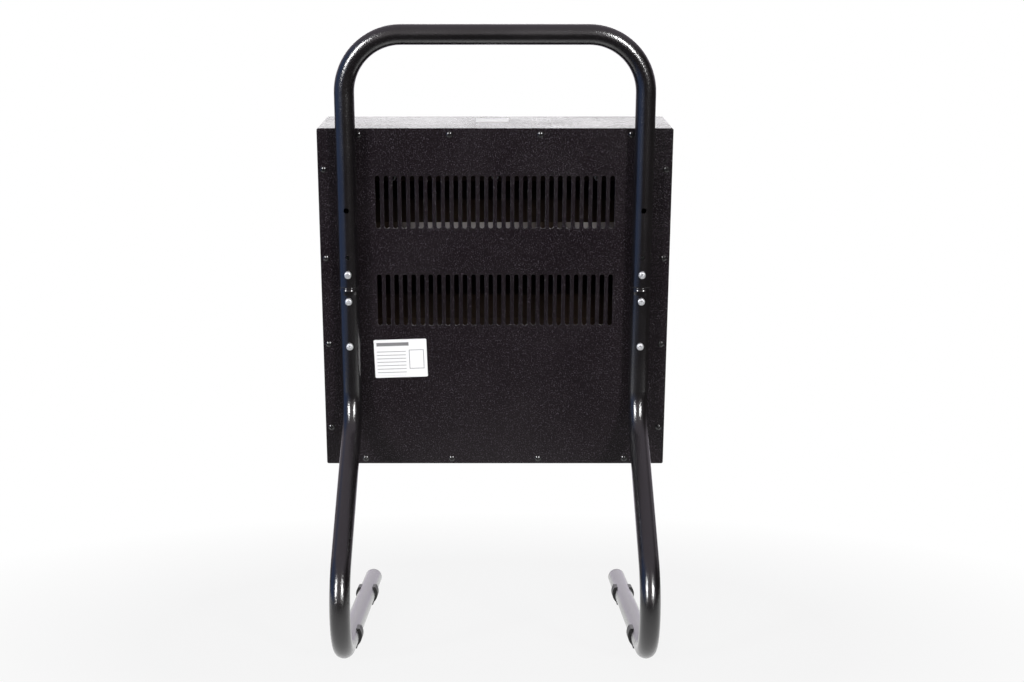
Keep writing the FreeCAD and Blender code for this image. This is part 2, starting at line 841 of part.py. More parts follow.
edge_spots = []
for share in ("-1", "-1 / 3", "1 / 3", "1"):
    across = f"{share} * (half_w - edge_margin_x)"
    up = f"{share} * (half_h - edge_margin_z)"
    for sign in ("-", ""):
        edge_spots.append((across, f"{sign}(half_h - edge_screw_inset)"))
        edge_spots.append((f"{sign}(half_w - edge_screw_inset)", up))
hole_sketch = sketch_on(panel, "panel_holes", "XZ_Plane")
for across, up in edge_spots:
    circle(hole_sketch, "edge_hole", across, up)
for sign in ("-", ""):
    for rise in stand_rows:
        circle(hole_sketch, "bolt_hole", sign + "leg_x", rise)
holes = panel.newObject("PartDesign::Pocket", "panel_hole_cut")
holes.Profile = hole_sketch
holes.Type = "ThroughAll"
holes.Reversed = True
panel.Tip = holes
node("rear_panel", panel, UNIT)

# Black screws round the rear panel
edge_screw = pan_screw(
    value("edge_head_d"), value("edge_head_h"), value("edge_screw_d"), value("edge_screw_length")
)
edge_places = [(value(across), value("seat_gap"), value(up)) for across, up in edge_spots]
node("rear_panel_screws", formed("edge_screw_group", copies(edge_screw, edge_places, REAR)), UNIT)


# Housing shell, folded from one sheet, open at the rear inside a narrow flange
def along_depth(edge):
    return edge.BoundBox.XLength < 0.01 and edge.BoundBox.ZLength < 0.01


def at_depth(depth):
    level = -value(depth)
    return lambda edge: abs(edge.BoundBox.YMax - level) < 0.01 and abs(edge.BoundBox.YMin - level) < 0.01


def fold_edges(depth):
    flat = at_depth(depth)
    return lambda edge: along_depth(edge) or flat(edge)


outside = block(
    "housing_outside",
    ("-half_w", "-unit_depth", "-half_h"),
    ("unit_width", "unit_depth - panel_thick", "unit_height"),
)
outside_fold = rounded("housing_fold", outside, "fold_inner + sheet", fold_edges("unit_depth"))
cavity = block(
    "housing_cavity",
    ("sheet - half_w", "-front_in", "sheet - half_h"),
    ("unit_width - 2 * sheet", "front_in - panel_thick - sheet", "unit_height - 2 * sheet"),
)
cavity_fold = rounded("housing_cavity_fold", cavity, "fold_inner", fold_edges("front_in"))
back_gap = block(
    "housing_back_gap",
    ("flange - half_w", "-panel_thick - 2 * sheet", "flange - half_h"),
    ("unit_width - 2 * flange", "3 * sheet", "unit_height - 2 * flange"),
)
window = block(
    "housing_window",
    ("-window_half", "-unit_depth - sheet", "lamp_mid - window_rise"),
    ("2 * window_half", "3 * sheet", "2 * window_rise"),
)
window_round = rounded("housing_window_round", window, "window_corner", along_depth)
shell_tools = [cavity_fold, back_gap, window_round]
for number, (across, up) in enumerate(edge_spots):
    spot = (across, "-panel_thick - 2 * sheet", up)
    shell_tools.append(rod(f"flange_hole_{number}", "edge_thread", "3 * sheet", spot, "Y"))
shell_tools.append(
    rod(
        "selector_hole",
        "bush_d + 2 * bolt_clear",
        "3 * sheet",
        ("selector_x", "-unit_depth - sheet", "-selector_drop"),
        "Y",
    )
)
shell_tools.append(
    rod("gland_hole_tool", "gland_hole", "3 * sheet", ("-gland_x", "-gland_y", "-half_h - sheet"), "Z")
)
guard_screw_spots = []
for sign in ("-", ""):
    guard_screw_spots.append((sign + "guard_clip_x", "lamp_mid + guard_rise + guard_clip_reach"))
    guard_screw_spots.append((sign + "guard_clip_x", "lamp_mid - guard_rise - guard_clip_reach"))
for number, (across, up) in enumerate(guard_screw_spots):
    spot = (across, "-unit_depth - sheet", up)
    shell_tools.append(rod(f"guard_screw_hole_{number}", "guard_thread", "3 * sheet", spot, "Y"))
folded = cut("housing_cut", outside_fold, *shell_tools)

reflector_studs = []
for across in ("-reflector_stud_x", "0", "reflector_stud_x"):
    reflector_studs.append((across, "lamp_high + mouth + flange_reach / 2"))
    reflector_studs.append((across, "lamp_low - mouth - flange_reach / 2"))
bracket_studs = []
for sign in ("-", ""):
    for step in ("-", "+"):
        bracket_studs.append((f"{sign}stud_x", f"lamp_mid {step} bracket_stud_rise"))
shield_studs = []
for across in ("-shield_stud_x", "shield_stud_x"):
    shield_studs.append((across, "shield_z - shield_flange / 2"))
studs = []
for number, (across, up) in enumerate(reflector_studs + bracket_studs + shield_studs):
    spot = (across, "-front_in - sheet / 2", up)
    studs.append(rod(f"weld_stud_{number}", "stud_d", "stud_length + sheet / 2", spot, "Y"))
node("housing_shell", fuse("housing_whole", folded, *studs), UNIT)

# Nuts on the weld studs
nut_corner = value("stud_nut_across") / 2 / math.cos(math.pi / 6)
nut_thick = value("stud_nut_thick")
nut_points = []
for step in range(7):
    angle = math.radians(60 * step)
    nut_points.append(FreeCAD.Vector(nut_corner * math.cos(angle), nut_corner * math.sin(angle), 0))
nut = Part.Face(Part.makePolygon(nut_points)).extrude(FreeCAD.Vector(0, 0, nut_thick))
nut = nut.cut(Part.makeCylinder(value("stud_d / 2 + thread_clear"), nut_thick))
nut_spots = []
for spots, seat in (
    (reflector_studs, "reflector_thick"),
    (bracket_studs, "bracket_thick"),
    (shield_studs, "shield_thick"),
):
    for across, up in spots:
        nut_spots.append((value(across), value(f"{seat} + seat_gap - front_in"), value(up)))
node("stud_nuts", formed("stud_nut_group", copies(nut, nut_spots, REAR)), UNIT)

# Twin reflector, one bright sheet folded into two troughs
half_sheet = value("reflector_thick / 2")
face_y = half_sheet - value("front_in")
profile = [(face_y, value("lamp_high + mouth + flange_reach"))]
for centre in ("lamp_high", "lamp_low"):
    middle = value(centre)
    for depth, reach, way in (
        (-face_y, "mouth", 1),
        (value("waist_depth"), "waist_half", 1),
        (value("trough_depth"), "apex_half", 1),
        (value("trough_depth"), "apex_half", -1),
        (value("waist_depth"), "waist_half", -1),
        (-face_y, "mouth", -1),
    ):
        profile.append((-depth, middle + way * value(reach)))
profile.append((face_y, value("lamp_low - mouth - flange_reach")))
bright_sheet = formed(
    "reflector_sheet",
    strip(profile, value("reflector_thick"), -value("reflector_half"), value("reflector_length")),
)
reflector_holes = []
for number, (across, up) in enumerate(reflector_studs):
    spot = (across, "-front_in - sheet", up)
    reflector_holes.append(rod(f"reflector_hole_{number}", "stud_hole", "4 * sheet", spot, "Y"))
node("twin_reflector", cut("reflector_cut", bright_sheet, *reflector_holes), UNIT)

# Lamp brackets close the trough ends and carry the lamp holders
for side, sign, way in (("left", "-", -1), ("right", "", 1)):
    inner = "reflector_half + bracket_gap"
    low = "-bracket_out" if way < 0 else inner
    web = block(
        side + "_bracket_web",
        (low, "-front_in", "lamp_low - mouth"),
        ("bracket_thick", "front_in - trough_depth + bracket_rear", "lamp_pitch + 2 * mouth"),
    )
    low = "-bracket_out - bracket_flange + bracket_thick" if way < 0 else inner
    lip = block(
        side + "_bracket_lip",
        (low, "-front_in", "lamp_low - mouth"),
        ("bracket_flange", "bracket_thick", "lamp_pitch + 2 * mouth"),
    )
    bracket_holes = []
    for number, centre in enumerate(("lamp_low", "lamp_high")):
        spot = (f"{sign}bracket_out - 2 * bracket_thick", "-lamp_depth", centre)
        wide = "lamp_d + 2 * bracket_lamp_clear"
        bracket_holes.append(rod(f"{side}_lamp_hole_{number}", wide, "4 * bracket_thick", spot, "X"))
    for number, (across, up) in enumerate(bracket_studs):
        spot = (across, "-front_in - sheet", up)
        bracket_holes.append(rod(f"{side}_bracket_hole_{number}", "stud_hole", "4 * sheet", spot, "Y"))
    joined = fuse(side + "_bracket_sheet", web, lip)
    node(side + "_lamp_bracket", cut(side + "_bracket_cut", joined, *bracket_holes), UNIT)

# Two quartz lamps, each a tube with a filament on round supports and a ceramic cap at each end
for level, centre in (("upper", "lamp_high"), ("lower", "lamp_low")):
    start = ("-lamp_length / 2", "-lamp_depth", centre)
    glass = rod(level + "_glass", "lamp_d", "lamp_length", start, "X")
    hollow = rod(level + "_hollow", "lamp_d - 2 * lamp_wall", "lamp_length", start, "X")
    node(level + "_lamp_tube", cut(level + "_glass_cut", glass, hollow), UNIT)
    coil = [rod(level + "_coil", "filament_d", "lamp_length", start, "X")]
    for number in range(int(value("support_count"))):
        across = f"lamp_length * (({number} + 0.5) / support_count - 0.5)"
        disc = rod(
            f"{level}_support_{number}", "support_d", "support_thick", (across, "-lamp_depth", centre), "X"
        )
        coil.append(disc)
    node(level + "_lamp_filament", fuse(level + "_coil_whole", *coil), UNIT)
    ends = [
        rod(level + "_cap_left", "cap_d", "cap_length", ("-cap_out", "-lamp_depth", centre), "X"),
        rod(level + "_cap_right", "cap_d", "cap_length", ("lamp_length / 2", "-lamp_depth", centre), "X"),
    ]
    node(level + "_lamp_caps", single(level + "_caps", *ends), UNIT)
    for side, low, bore in (
        ("left", "-holder_out", "-cap_out - holder_clear"),
        ("right", "bracket_out", "bracket_out"),
    ):
        body = block(
            f"{level}_{side}_holder_block",
            (low, "-lamp_depth - holder_side / 2", f"{centre} - holder_side / 2"),
            ("holder_length", "holder_side", "holder_side"),
        )
        socket = rod(
            f"{level}_{side}_holder_bore",
            "cap_d + 2 * holder_clear",
            "cap_out + holder_clear - bracket_out",
            (bore, "-lamp_depth", centre),
            "X",
        )
        node(f"{level}_{side}_lamp_holder", cut(f"{level}_{side}_holder_cut", body, socket), UNIT)

# Heat shield between the lamps and the wiring
half_shield = value("shield_thick / 2")
shield_front = half_shield - value("front_in")
shield_line = [
    (shield_front, value("shield_z - shield_flange")),
    (shield_front, value("shield_z")),
    (-value("shield_rear"), value("shield_z")),
]
shield_sheet = formed(
    "shield_sheet",
    strip(shield_line, value("shield_thick"), -value("shield_width / 2"), value("shield_width")),
)
shield_holes = []
for number, (across, up) in enumerate(shield_studs):
    spot = (across, "-front_in - sheet", up)
    shield_holes.append(rod(f"shield_hole_{number}", "stud_hole", "4 * sheet", spot, "Y"))
node("heat_shield", cut("shield_cut", shield_sheet, *shield_holes), UNIT)

# Thermal cut-out under the shield
cutout_top = "shield_z - shield_thick / 2"
cutout_plate = block(
    "cutout_plate",
    ("-cutout_tab / 2", "-lead_y - cutout_tab_width / 2", cutout_top + " - cutout_flange"),
    ("cutout_tab", "cutout_tab_width", "cutout_flange"),
)
cutout_disc = rod(
    "cutout_disc",
    "cutout_d",
    "cutout_height",
    ("0", "-lead_y", cutout_top + " - cutout_flange / 2 - cutout_height"),
    "Z",
)
node("thermal_cutout", fuse("cutout_whole", cutout_plate, cutout_disc), UNIT)


# Wire guard, a rod frame with level wires and three upright stays
def guard_half_frame(way):
    depth = -value("guard_y")
    middle = value("lamp_mid")
    rise = value("guard_rise")
    across = way * value("guard_half")
    points = [
        (0, depth, middle + rise),
        (across, depth, middle + rise),
        (across, depth, middle - rise),
        (0, depth, middle - rise),
    ]
    return bent_wire(points, value("guard_rod"), value("guard_corner"))


guard_pieces = [
    formed("guard_frame_left", guard_half_frame(-1)),
    formed("guard_frame_right", guard_half_frame(1)),
]
for number in range(int(value("guard_count"))):
    up = f"lamp_mid + guard_pitch * ({number} - (guard_count - 1) / 2)"
    wire = rod(f"guard_wire_{number}", "guard_wire", "2 * guard_half", ("-guard_half", "-wire_y", up), "X")
    guard_pieces.append(wire)
for number, across in enumerate(("-guard_half / 2", "0", "guard_half / 2")):
    spot = (across, "-stay_y", "lamp_mid - guard_rise")
    guard_pieces.append(rod(f"guard_stay_{number}", "guard_stay", "2 * guard_rise", spot, "Z"))
node("wire_guard", fuse("guard_whole", *guard_pieces), UNIT)

# Guard clips hook over the frame, each with one screw
clip_sheet = value("guard_clip_sheet")
clip_foot = -value("unit_depth") - clip_sheet / 2
clip_roof = -value("guard_y + guard_rod / 2 + guard_clip_clear") - clip_sheet / 2
clip_side = value("guard_rod / 2 + guard_clip_clear") + clip_sheet / 2
clip_shapes = []
for across, up in guard_screw_spots:
    way = 1 if value(up) > value("lamp_mid") else -1
    rail = value("lamp_mid") + way * value("guard_rise")
    line = [
        (clip_foot, rail + way * value("guard_clip_reach + guard_clip_tail")),
        (clip_foot, rail + way * clip_side),
        (clip_roof, rail + way * clip_side),
        (clip_roof, rail),
    ]
    start = value(across) - value("guard_clip_width / 2")
    clip_shapes.append(strip(line, clip_sheet, start, value("guard_clip_width")))
clip_blank = formed("guard_clip_blank", Part.makeCompound(clip_shapes))
clip_holes = []
for number, (across, up) in enumerate(guard_screw_spots):
    spot = (across, "-unit_depth - 2 * guard_clip_sheet", up)
    clip_holes.append(rod(f"guard_clip_hole_{number}", "guard_hole", "3 * guard_clip_sheet", spot, "Y"))
node("guard_clips", cut("guard_clip_cut", clip_blank, *clip_holes), UNIT)
guard_screw = pan_screw(
    value("guard_head_d"), value("guard_head_h"), value("guard_screw_d"), value("guard_screw_length")
)
guard_places = []
for across, up in guard_screw_spots:
    guard_places.append((value(across), -value("unit_depth + guard_clip_sheet + seat_gap"), value(up)))
node("guard_screws", formed("guard_screw_group", copies(guard_screw, guard_places, FRONT)), UNIT)

# Selector switch behind the front sheet with its bush through it
switch_block = block(
    "switch_block",
    ("selector_x - switch_side / 2", "-front_in", "-selector_drop - switch_side / 2"),
    ("switch_side", "switch_depth", "switch_side"),
)
bush = rod(
    "switch_bush",
    "bush_d",
    "bush_length + sheet",
    ("selector_x", "-front_in - bush_length", "-selector_drop"),
    "Y",
)
shaft_bore = rod(
    "switch_bore",
    "shaft_d + 2 * shaft_clear",
    "bush_length + shaft_hold + knob_roof",
    ("selector_x", "-front_in - bush_length", "-selector_drop"),
    "Y",
)
node("selector_switch", cut("switch_cut", fuse("switch_whole", switch_block, bush), shaft_bore), UNIT)

bush_nut_at = ("selector_x", "-unit_depth - bush_nut_thick", "-selector_drop")
nut_solid = hexagon("bush_nut_solid", "bush_nut_across", "bush_nut_thick", bush_nut_at, "Y")
nut_bore = rod("bush_nut_bore", "bush_d + 2 * thread_clear", "bush_nut_thick", bush_nut_at, "Y")
node("selector_nut", cut("bush_nut_cut", nut_solid, nut_bore), UNIT)

shaft = rod(
    "shaft_round",
    "shaft_d",
    "shaft_end - front_in + shaft_hold",
    ("selector_x", "-shaft_end", "-selector_drop"),
    "Y",
)
node("selector_shaft", single("shaft_piece", shaft), UNIT)

knob_disc = rod(
    "knob_disc", "knob_d", "knob_base", ("selector_x", "-knob_y - knob_base", "-selector_drop"), "Y"
)
knob_disc_round = rounded(
    "knob_disc_edge",
    knob_disc,
    "knob_disc_round",
    lambda edge: edge.Closed and at_depth("knob_y + knob_base")(edge),
)
knob_bar = block(
    "knob_bar_block",
    (
        "selector_x - knob_bar / 2",
        "-knob_y - knob_height",
        "-selector_drop - knob_d / 2 + knob_disc_round",
    ),
    ("knob_bar", "knob_height - knob_base / 2", "knob_d - 2 * knob_disc_round"),
)
knob_bar_round = rounded(
    "knob_bar_edge",
    knob_bar,
    "knob_bar_round",
    lambda edge: along_depth(edge) or at_depth("knob_y + knob_height")(edge),
)
knob_hollow = rod(
    "knob_hollow", "knob_well_d", "knob_well", ("selector_x", "-knob_hub", "-selector_drop"), "Y"
)
knob_bore = rod(
    "knob_bore", "shaft_d", "shaft_end - knob_y", ("selector_x", "-shaft_end", "-selector_drop"), "Y"
)
node(
    "selector_knob",
    cut("knob_cut", fuse("knob_whole", knob_disc_round, knob_bar_round), knob_hollow, knob_bore),
    UNIT,
)

dial_disc = rod("dial_disc", "dial_d", "dial_thick", ("selector_x", "-dial_y", "-selector_drop"), "Y")
dial_hole = rod("dial_hole", "dial_hole_d", "dial_thick", ("selector_x", "-dial_y", "-selector_drop"), "Y")
node("dial_plate", cut("dial_cut", dial_disc, dial_hole), UNIT)

# Tip over switch, standing level on a bent bracket
tilt = math.radians(value("unit_tilt"))
bracket_line = [
    (value("tip_foot") * math.cos(tilt), -value("tip_foot") * math.sin(tilt)),
    (0, 0),
    (0, value("tip_base + tip_height")),
]
tip_bracket = strip(bracket_line, value("tip_plate"), -value("tip_width / 2"), value("tip_width"))
node("tip_bracket", formed("tip_bracket_sheet", tip_bracket), TIP)

case_block = block(
    "tip_case_block",
    ("-tip_width / 2", "-tip_in - tip_depth", "tip_base"),
    ("tip_width", "tip_depth", "tip_height"),
)
case_hollow = block(
    "tip_case_hollow",
    ("tip_wall - tip_width / 2", "-tip_in - tip_depth", "tip_base + tip_wall"),
    ("tip_width - 2 * tip_wall", "tip_depth - tip_wall", "tip_height - 2 * tip_wall"),
)
case_pin_hole = rod(
    "tip_case_pin_hole", "pin_d + 2 * seat_gap", "2 * tip_width", ("-tip_width", "-pin_y", "pin_z"), "X"
)
node("tip_case", cut("tip_case_cut", case_block, case_hollow, case_pin_hole), TIP)

cover = block(
    "tip_cover_plate",
    ("-tip_width / 2", "-tip_in - tip_depth - tip_wall", "tip_base"),
    ("tip_width", "tip_wall", "tip_height"),
)
node("tip_cover", single("tip_cover_piece", cover), TIP)

pin = rod("tip_pin_rod", "pin_d", "tip_width", ("-tip_width / 2", "-pin_y", "pin_z"), "X")
node("tip_pin", single("tip_pin_piece", pin), TIP)

bob = rod("bob_weight", "bob_d", "bob_width", ("-bob_width / 2", "-pin_y", "pin_z - bob_drop"), "X")
bob_stem = block(
    "bob_stem",
    ("-bob_arm / 2", "-pin_y - bob_arm / 2", "pin_z - bob_drop"),
    ("bob_arm", "bob_arm", "bob_drop"),
)
bob_eye = rod("bob_eye", "bob_eye_d", "bob_arm", ("-bob_arm / 2", "-pin_y", "pin_z"), "X")
bob_hole = rod("bob_hole", "pin_d + 2 * pin_clear", "2 * bob_arm", ("-bob_arm", "-pin_y", "pin_z"), "X")
node("tip_pendulum", cut("bob_cut", fuse("bob_whole", bob, bob_stem, bob_eye), bob_hole), TIP)

# Cable gland through the bottom sheet, its bore clear for a cable
gland_at = ("-gland_x", "-gland_y")
gland_barrel = rod("gland_barrel_rod", "gland_d", "sheet + gland_barrel", (*gland_at, "-half_h"), "Z")
gland_hex = hexagon("gland_hex", "gland_across", "gland_flange", (*gland_at, "-half_h - gland_flange"), "Z")
gland_neck = rod("gland_neck_rod", "gland_neck_d", "gland_neck", (*gland_at, "-neck_end"), "Z")
gland_bore = rod(
    "gland_bore_tool", "gland_bore", "2 * gland_neck + gland_barrel", (*gland_at, "-neck_end"), "Z"
)
gland_whole = fuse("gland_body_whole", gland_barrel, gland_hex, gland_neck)
node("gland_body", cut("gland_body_cut", gland_whole, gland_bore), UNIT)

locknut = hexagon("locknut_solid", "locknut_across", "locknut_thick", (*gland_at, "-floor_in"), "Z")
locknut_bore = rod("locknut_bore", "gland_hole", "locknut_thick", (*gland_at, "-floor_in"), "Z")
node("gland_locknut", cut("locknut_cut", locknut, locknut_bore), UNIT)

seal_ring = rod("seal_ring", "gland_neck_d", "gland_seal_h", (*gland_at, "-seal_end"), "Z")
seal_bore = rod("seal_bore", "gland_bore", "gland_seal_h", (*gland_at, "-seal_end"), "Z")
node("gland_seal", cut("seal_cut", seal_ring, seal_bore), UNIT)

cap_skirt = "seal_end - half_h - gland_flange - gland_cap_gap"
cap_hex = hexagon("cap_hex", "gland_across", cap_skirt, (*gland_at, "-seal_end"), "Z")
cap_dome = rod("cap_dome", "gland_cap_d", "cap_end - neck_end", (*gland_at, "-cap_end"), "Z")
cap_dome_round = rounded(
    "cap_dome_edge",
    cap_dome,
    "gland_cap_round",
    lambda edge: edge.Closed and edge.BoundBox.ZMax < -value("seal_end"),
)
cap_well = rod("cap_well", "gland_neck_d + 2 * bolt_clear", cap_skirt, (*gland_at, "-seal_end"), "Z")
cap_bore = rod("cap_bore", "gland_bore", "cap_end - neck_end", (*gland_at, "-cap_end"), "Z")
cap_whole = fuse("cap_whole", cap_hex, cap_dome_round)
node("gland_cap", cut("cap_cut", cap_whole, cap_well, cap_bore), UNIT)

# Terminal block on the bottom sheet with four brass screws
terminal = block(
    "terminal_solid",
    ("-terminal_x - terminal_width / 2", "-terminal_y - terminal_depth / 2", "-floor_in"),
    ("terminal_width", "terminal_depth", "terminal_height"),
)
terminal_spots = []
for step in ("-1.5", "-0.5", "0.5", "1.5"):
    terminal_spots.append((f"-terminal_x + {step} * terminal_pitch", "-terminal_y - terminal_screw_y"))
terminal_holes = []
for number, (across, back) in enumerate(terminal_spots):
    spot = (across, back, "-terminal_top - terminal_screw_length - 2 * thread_clear")
    wide = "terminal_screw_d + 2 * thread_clear"
    terminal_holes.append(rod(f"terminal_hole_{number}", wide, "terminal_height", spot, "Z"))
node("terminal_block", cut("terminal_cut", terminal, *terminal_holes), UNIT)
terminal_screw = pan_screw(
    value("terminal_head_d"),
    value("terminal_head_h"),
    value("terminal_screw_d"),
    value("terminal_screw_length"),
)
terminal_places = [
    (value(across), value(back), value("seat_gap - terminal_top")) for across, back in terminal_spots
]
node("terminal_screws", formed("terminal_screw_group", copies(terminal_screw, terminal_places, UPWARD)), UNIT)

# Inner leads along their routes
lead_d = value("lead_d")
lead_y = -value("lead_y")
lead_side = value("half_w - lead_inset")
step = value("lead_step")
lamp_y = -value("lamp_depth")
holder_x = value("bracket_out + holder_length / 2")
holder_low = value("holder_side / 2")
terminal_z = -value("terminal_top")
terminal_row = [value(across) for across, back in terminal_spots]
low_z = value("lamp_low") - holder_low
high_z = value("lamp_high") - holder_low
tip_left = value("tip_x - tip_width / 2")
tip_right = value("tip_x + tip_width / 2")
tip_level = terminal_z + 5 * step
switch_left = value("selector_x - switch_side / 2")
switch_right = value("selector_x + switch_side / 2")
switch_y = 3.5 * step - value("front_in")
switch_z = -value("selector_drop")
routes = {
    "lead_live": [
        (terminal_row[3], lead_y, terminal_z),
        (terminal_row[3], lead_y, tip_level),
        (tip_left, lead_y, tip_level),
    ],
    "lead_switched": [
        (tip_right, lead_y, tip_level),
        (tip_right + 6 * step, lead_y, tip_level),
        (switch_left - 5.25 * step, switch_y, switch_z - step),
        (switch_left, switch_y, switch_z - step),
    ],
    "lead_upper_lamp": [
        (switch_right, switch_y, switch_z + 1.5 * step),
        (lead_side, switch_y, switch_z + 1.5 * step),
        (lead_side, lamp_y, low_z - 7.5 * step),
        (lead_side, lamp_y, high_z - 8 * step),
        (holder_x, lamp_y, high_z - 4 * step),
        (holder_x, lamp_y, high_z),
    ],
    "lead_lower_lamp": [
        (switch_right, switch_y + 2 * step, switch_z - 2 * step),
        (lead_side, switch_y + 2 * step, switch_z - 2 * step),
        (lead_side, lamp_y + 1.5 * step, low_z - 15 * step),
        (lead_side, lamp_y + 1.5 * step, low_z - 8 * step),
        (holder_x, lamp_y, low_z - 4 * step),
        (holder_x, lamp_y, low_z),
    ],
    "lead_neutral_upper": [
        (terminal_row[0], lead_y, terminal_z),
        (terminal_row[0], lead_y, terminal_z + 8 * step),
        (-lead_side + 14 * step, lead_y, terminal_z + 8.5 * step),
        (-lead_side + 2 * step, lead_y, terminal_z + 9.5 * step),
        (-lead_side, lead_y, terminal_z + 12.5 * step),
        (-lead_side, lamp_y, terminal_z + 20 * step),
        (-lead_side, lamp_y + step, low_z),
        (-lead_side, lamp_y, high_z - 8 * step),
        (-holder_x, lamp_y, high_z - 4 * step),
        (-holder_x, lamp_y, high_z),
    ],
    "lead_neutral_lower": [
        (terminal_row[1], lead_y, terminal_z),
        (terminal_row[1], lead_y, terminal_z + 4 * step),
        (terminal_row[1] - 9 * step, lead_y - 5 * step, terminal_z + 5 * step),
        (-lead_side + 2 * step, lead_y - 6 * step, terminal_z + 7 * step),
        (-lead_side, lead_y - 6 * step, terminal_z + 10 * step),
        (-lead_side, lead_y - 5 * step, low_z - 11 * step),
        (-holder_x, lamp_y, low_z - 4 * step),
        (-holder_x, lamp_y, low_z),
    ],
}
for label, points in routes.items():
    node(label, formed(label + "_run", bent_wire(points, lead_d)), UNIT)

# Bare labels on the rear panel and on the top
rating = block(
    "rating_plate",
    ("-label_width / 2", "0", "-label_height / 2"),
    ("label_width", "label_thick", "label_height"),
)
node(
    "rating_label",
    single("rating_piece", rating),
    UNIT + " * placement(vector(label_x; 0; -label_drop); rotation(vector(0; 1; 0); label_turn))",
)
sticker = block(
    "top_plate",
    (
        "top_label_x - top_label_width / 2",
        "-top_label_inset - top_label_depth",
        "half_h",
    ),
    ("top_label_width", "top_label_depth", "label_thick"),
)
node("top_label", single("top_piece", sticker), UNIT)

# Check and write every piece
doc.recompute()
os.makedirs("parts", exist_ok=True)
for item in doc.Objects:
    if "Invalid" in item.State or "Error" in item.State:
        raise RuntimeError(f"{item.Name} is {item.State}")
for item in nodes:
    shape = item.Shape
    if shape.isNull() or not shape.isValid() or not shape.Solids:
        raise RuntimeError(f"{item.Label} has no valid solid")
for item in nodes:
    item.Shape.exportStep(f"parts/{item.Label}.step")
print(len(nodes), "pieces written")
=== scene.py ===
import json
import math

import bmesh
import bpy
from mathutils import Matrix, Vector


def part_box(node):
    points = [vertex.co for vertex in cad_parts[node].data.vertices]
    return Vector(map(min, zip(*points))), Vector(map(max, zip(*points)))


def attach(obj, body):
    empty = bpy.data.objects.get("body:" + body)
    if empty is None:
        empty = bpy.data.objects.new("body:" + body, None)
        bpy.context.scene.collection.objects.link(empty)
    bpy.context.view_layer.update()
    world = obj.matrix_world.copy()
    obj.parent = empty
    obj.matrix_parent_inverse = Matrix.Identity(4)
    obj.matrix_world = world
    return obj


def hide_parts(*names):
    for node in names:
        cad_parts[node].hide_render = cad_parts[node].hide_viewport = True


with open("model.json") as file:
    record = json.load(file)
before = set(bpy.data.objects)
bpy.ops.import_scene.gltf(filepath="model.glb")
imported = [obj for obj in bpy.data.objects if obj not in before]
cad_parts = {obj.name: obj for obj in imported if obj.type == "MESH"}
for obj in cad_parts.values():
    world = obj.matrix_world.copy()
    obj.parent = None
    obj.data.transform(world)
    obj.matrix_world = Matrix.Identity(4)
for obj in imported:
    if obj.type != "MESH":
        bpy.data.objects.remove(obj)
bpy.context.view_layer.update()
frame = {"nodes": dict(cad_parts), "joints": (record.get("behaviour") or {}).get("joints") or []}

# Stand tubes: two hairpin legs on the floor and a U handle that carries on from them.
# They are 22 mm steel tube, bent cold and stoved in a semi-gloss black powder coat.
# The coat has a fine peel that breaks the light into grain.


def is_socket(given):
    return isinstance(given, bpy.types.NodeSocket)


def shade_node(tree, kind, inputs=None, **settings):
    made = tree.nodes.new("ShaderNode" + kind)
    for name, setting in settings.items():
        setattr(made, name, setting)
    for socket, given in (inputs or {}).items():
        if is_socket(given):
            tree.links.new(given, made.inputs[socket])
        else:
            made.inputs[socket].default_value = given
    return made


def start_group(name, *gives):
    tree = bpy.data.node_groups.new(name, "ShaderNodeTree")
    tree.interface.new_socket("Vector", in_out="INPUT", socket_type="NodeSocketVector")
    tree.interface.new_socket("Scale", in_out="INPUT", socket_type="NodeSocketFloat")
    for label in gives:
        tree.interface.new_socket(label, in_out="OUTPUT", socket_type="NodeSocketFloat")
    return tree, tree.nodes.new("NodeGroupInput").outputs, tree.nodes.new("NodeGroupOutput").inputs


def start_finish(name, roughness=0.5, metallic=0.0):
    finish = bpy.data.materials.new(name)
    finish.use_nodes = True
    tree = finish.node_tree
    shader = tree.nodes["Principled BSDF"]
    shader.inputs["Roughness"].default_value = roughness
    shader.inputs["Metallic"].default_value = metallic
    return finish, tree, shader, shade_node(tree, "TexCoord").outputs["Object"]


def use_group(tree, group, inputs):
    return shade_node(tree, "Group", inputs, node_tree=group).outputs


def ranged(tree, given, low, high, start=0.0, end=1.0):
    return shade_node(
        tree,
        "MapRange",
        {"Value": given, "From Min": start, "From Max": end, "To Min": low, "To Max": high},
    ).outputs["Result"]


def share_of(tree, given, start, end):
    return ranged(tree, given, 0.0, 1.0, start, end)


def blended(tree, share, first, second):
    first, second = (given if is_socket(given) else (*given, 1) for given in (first, second))
    return shade_node(tree, "Mix", {0: share, 6: first, 7: second}, data_type="RGBA").outputs[2]


def reckoned(tree, operation, first, second=0.0):
    return shade_node(tree, "Math", {0: first, 1: second}, operation=operation).outputs[0]


def times(tree, first, second):
    return reckoned(tree, "MULTIPLY", first, second)


def embossed(tree, shader, height, depth):
    bump = shade_node(tree, "Bump", {"Height": height, "Distance": depth, "Strength": 1.0})
    tree.links.new(bump.outputs["Normal"], shader.inputs["Normal"])


def dress(finish, *names):
    for name in names:
        frame["nodes"][name].material_slots[0].material = finish


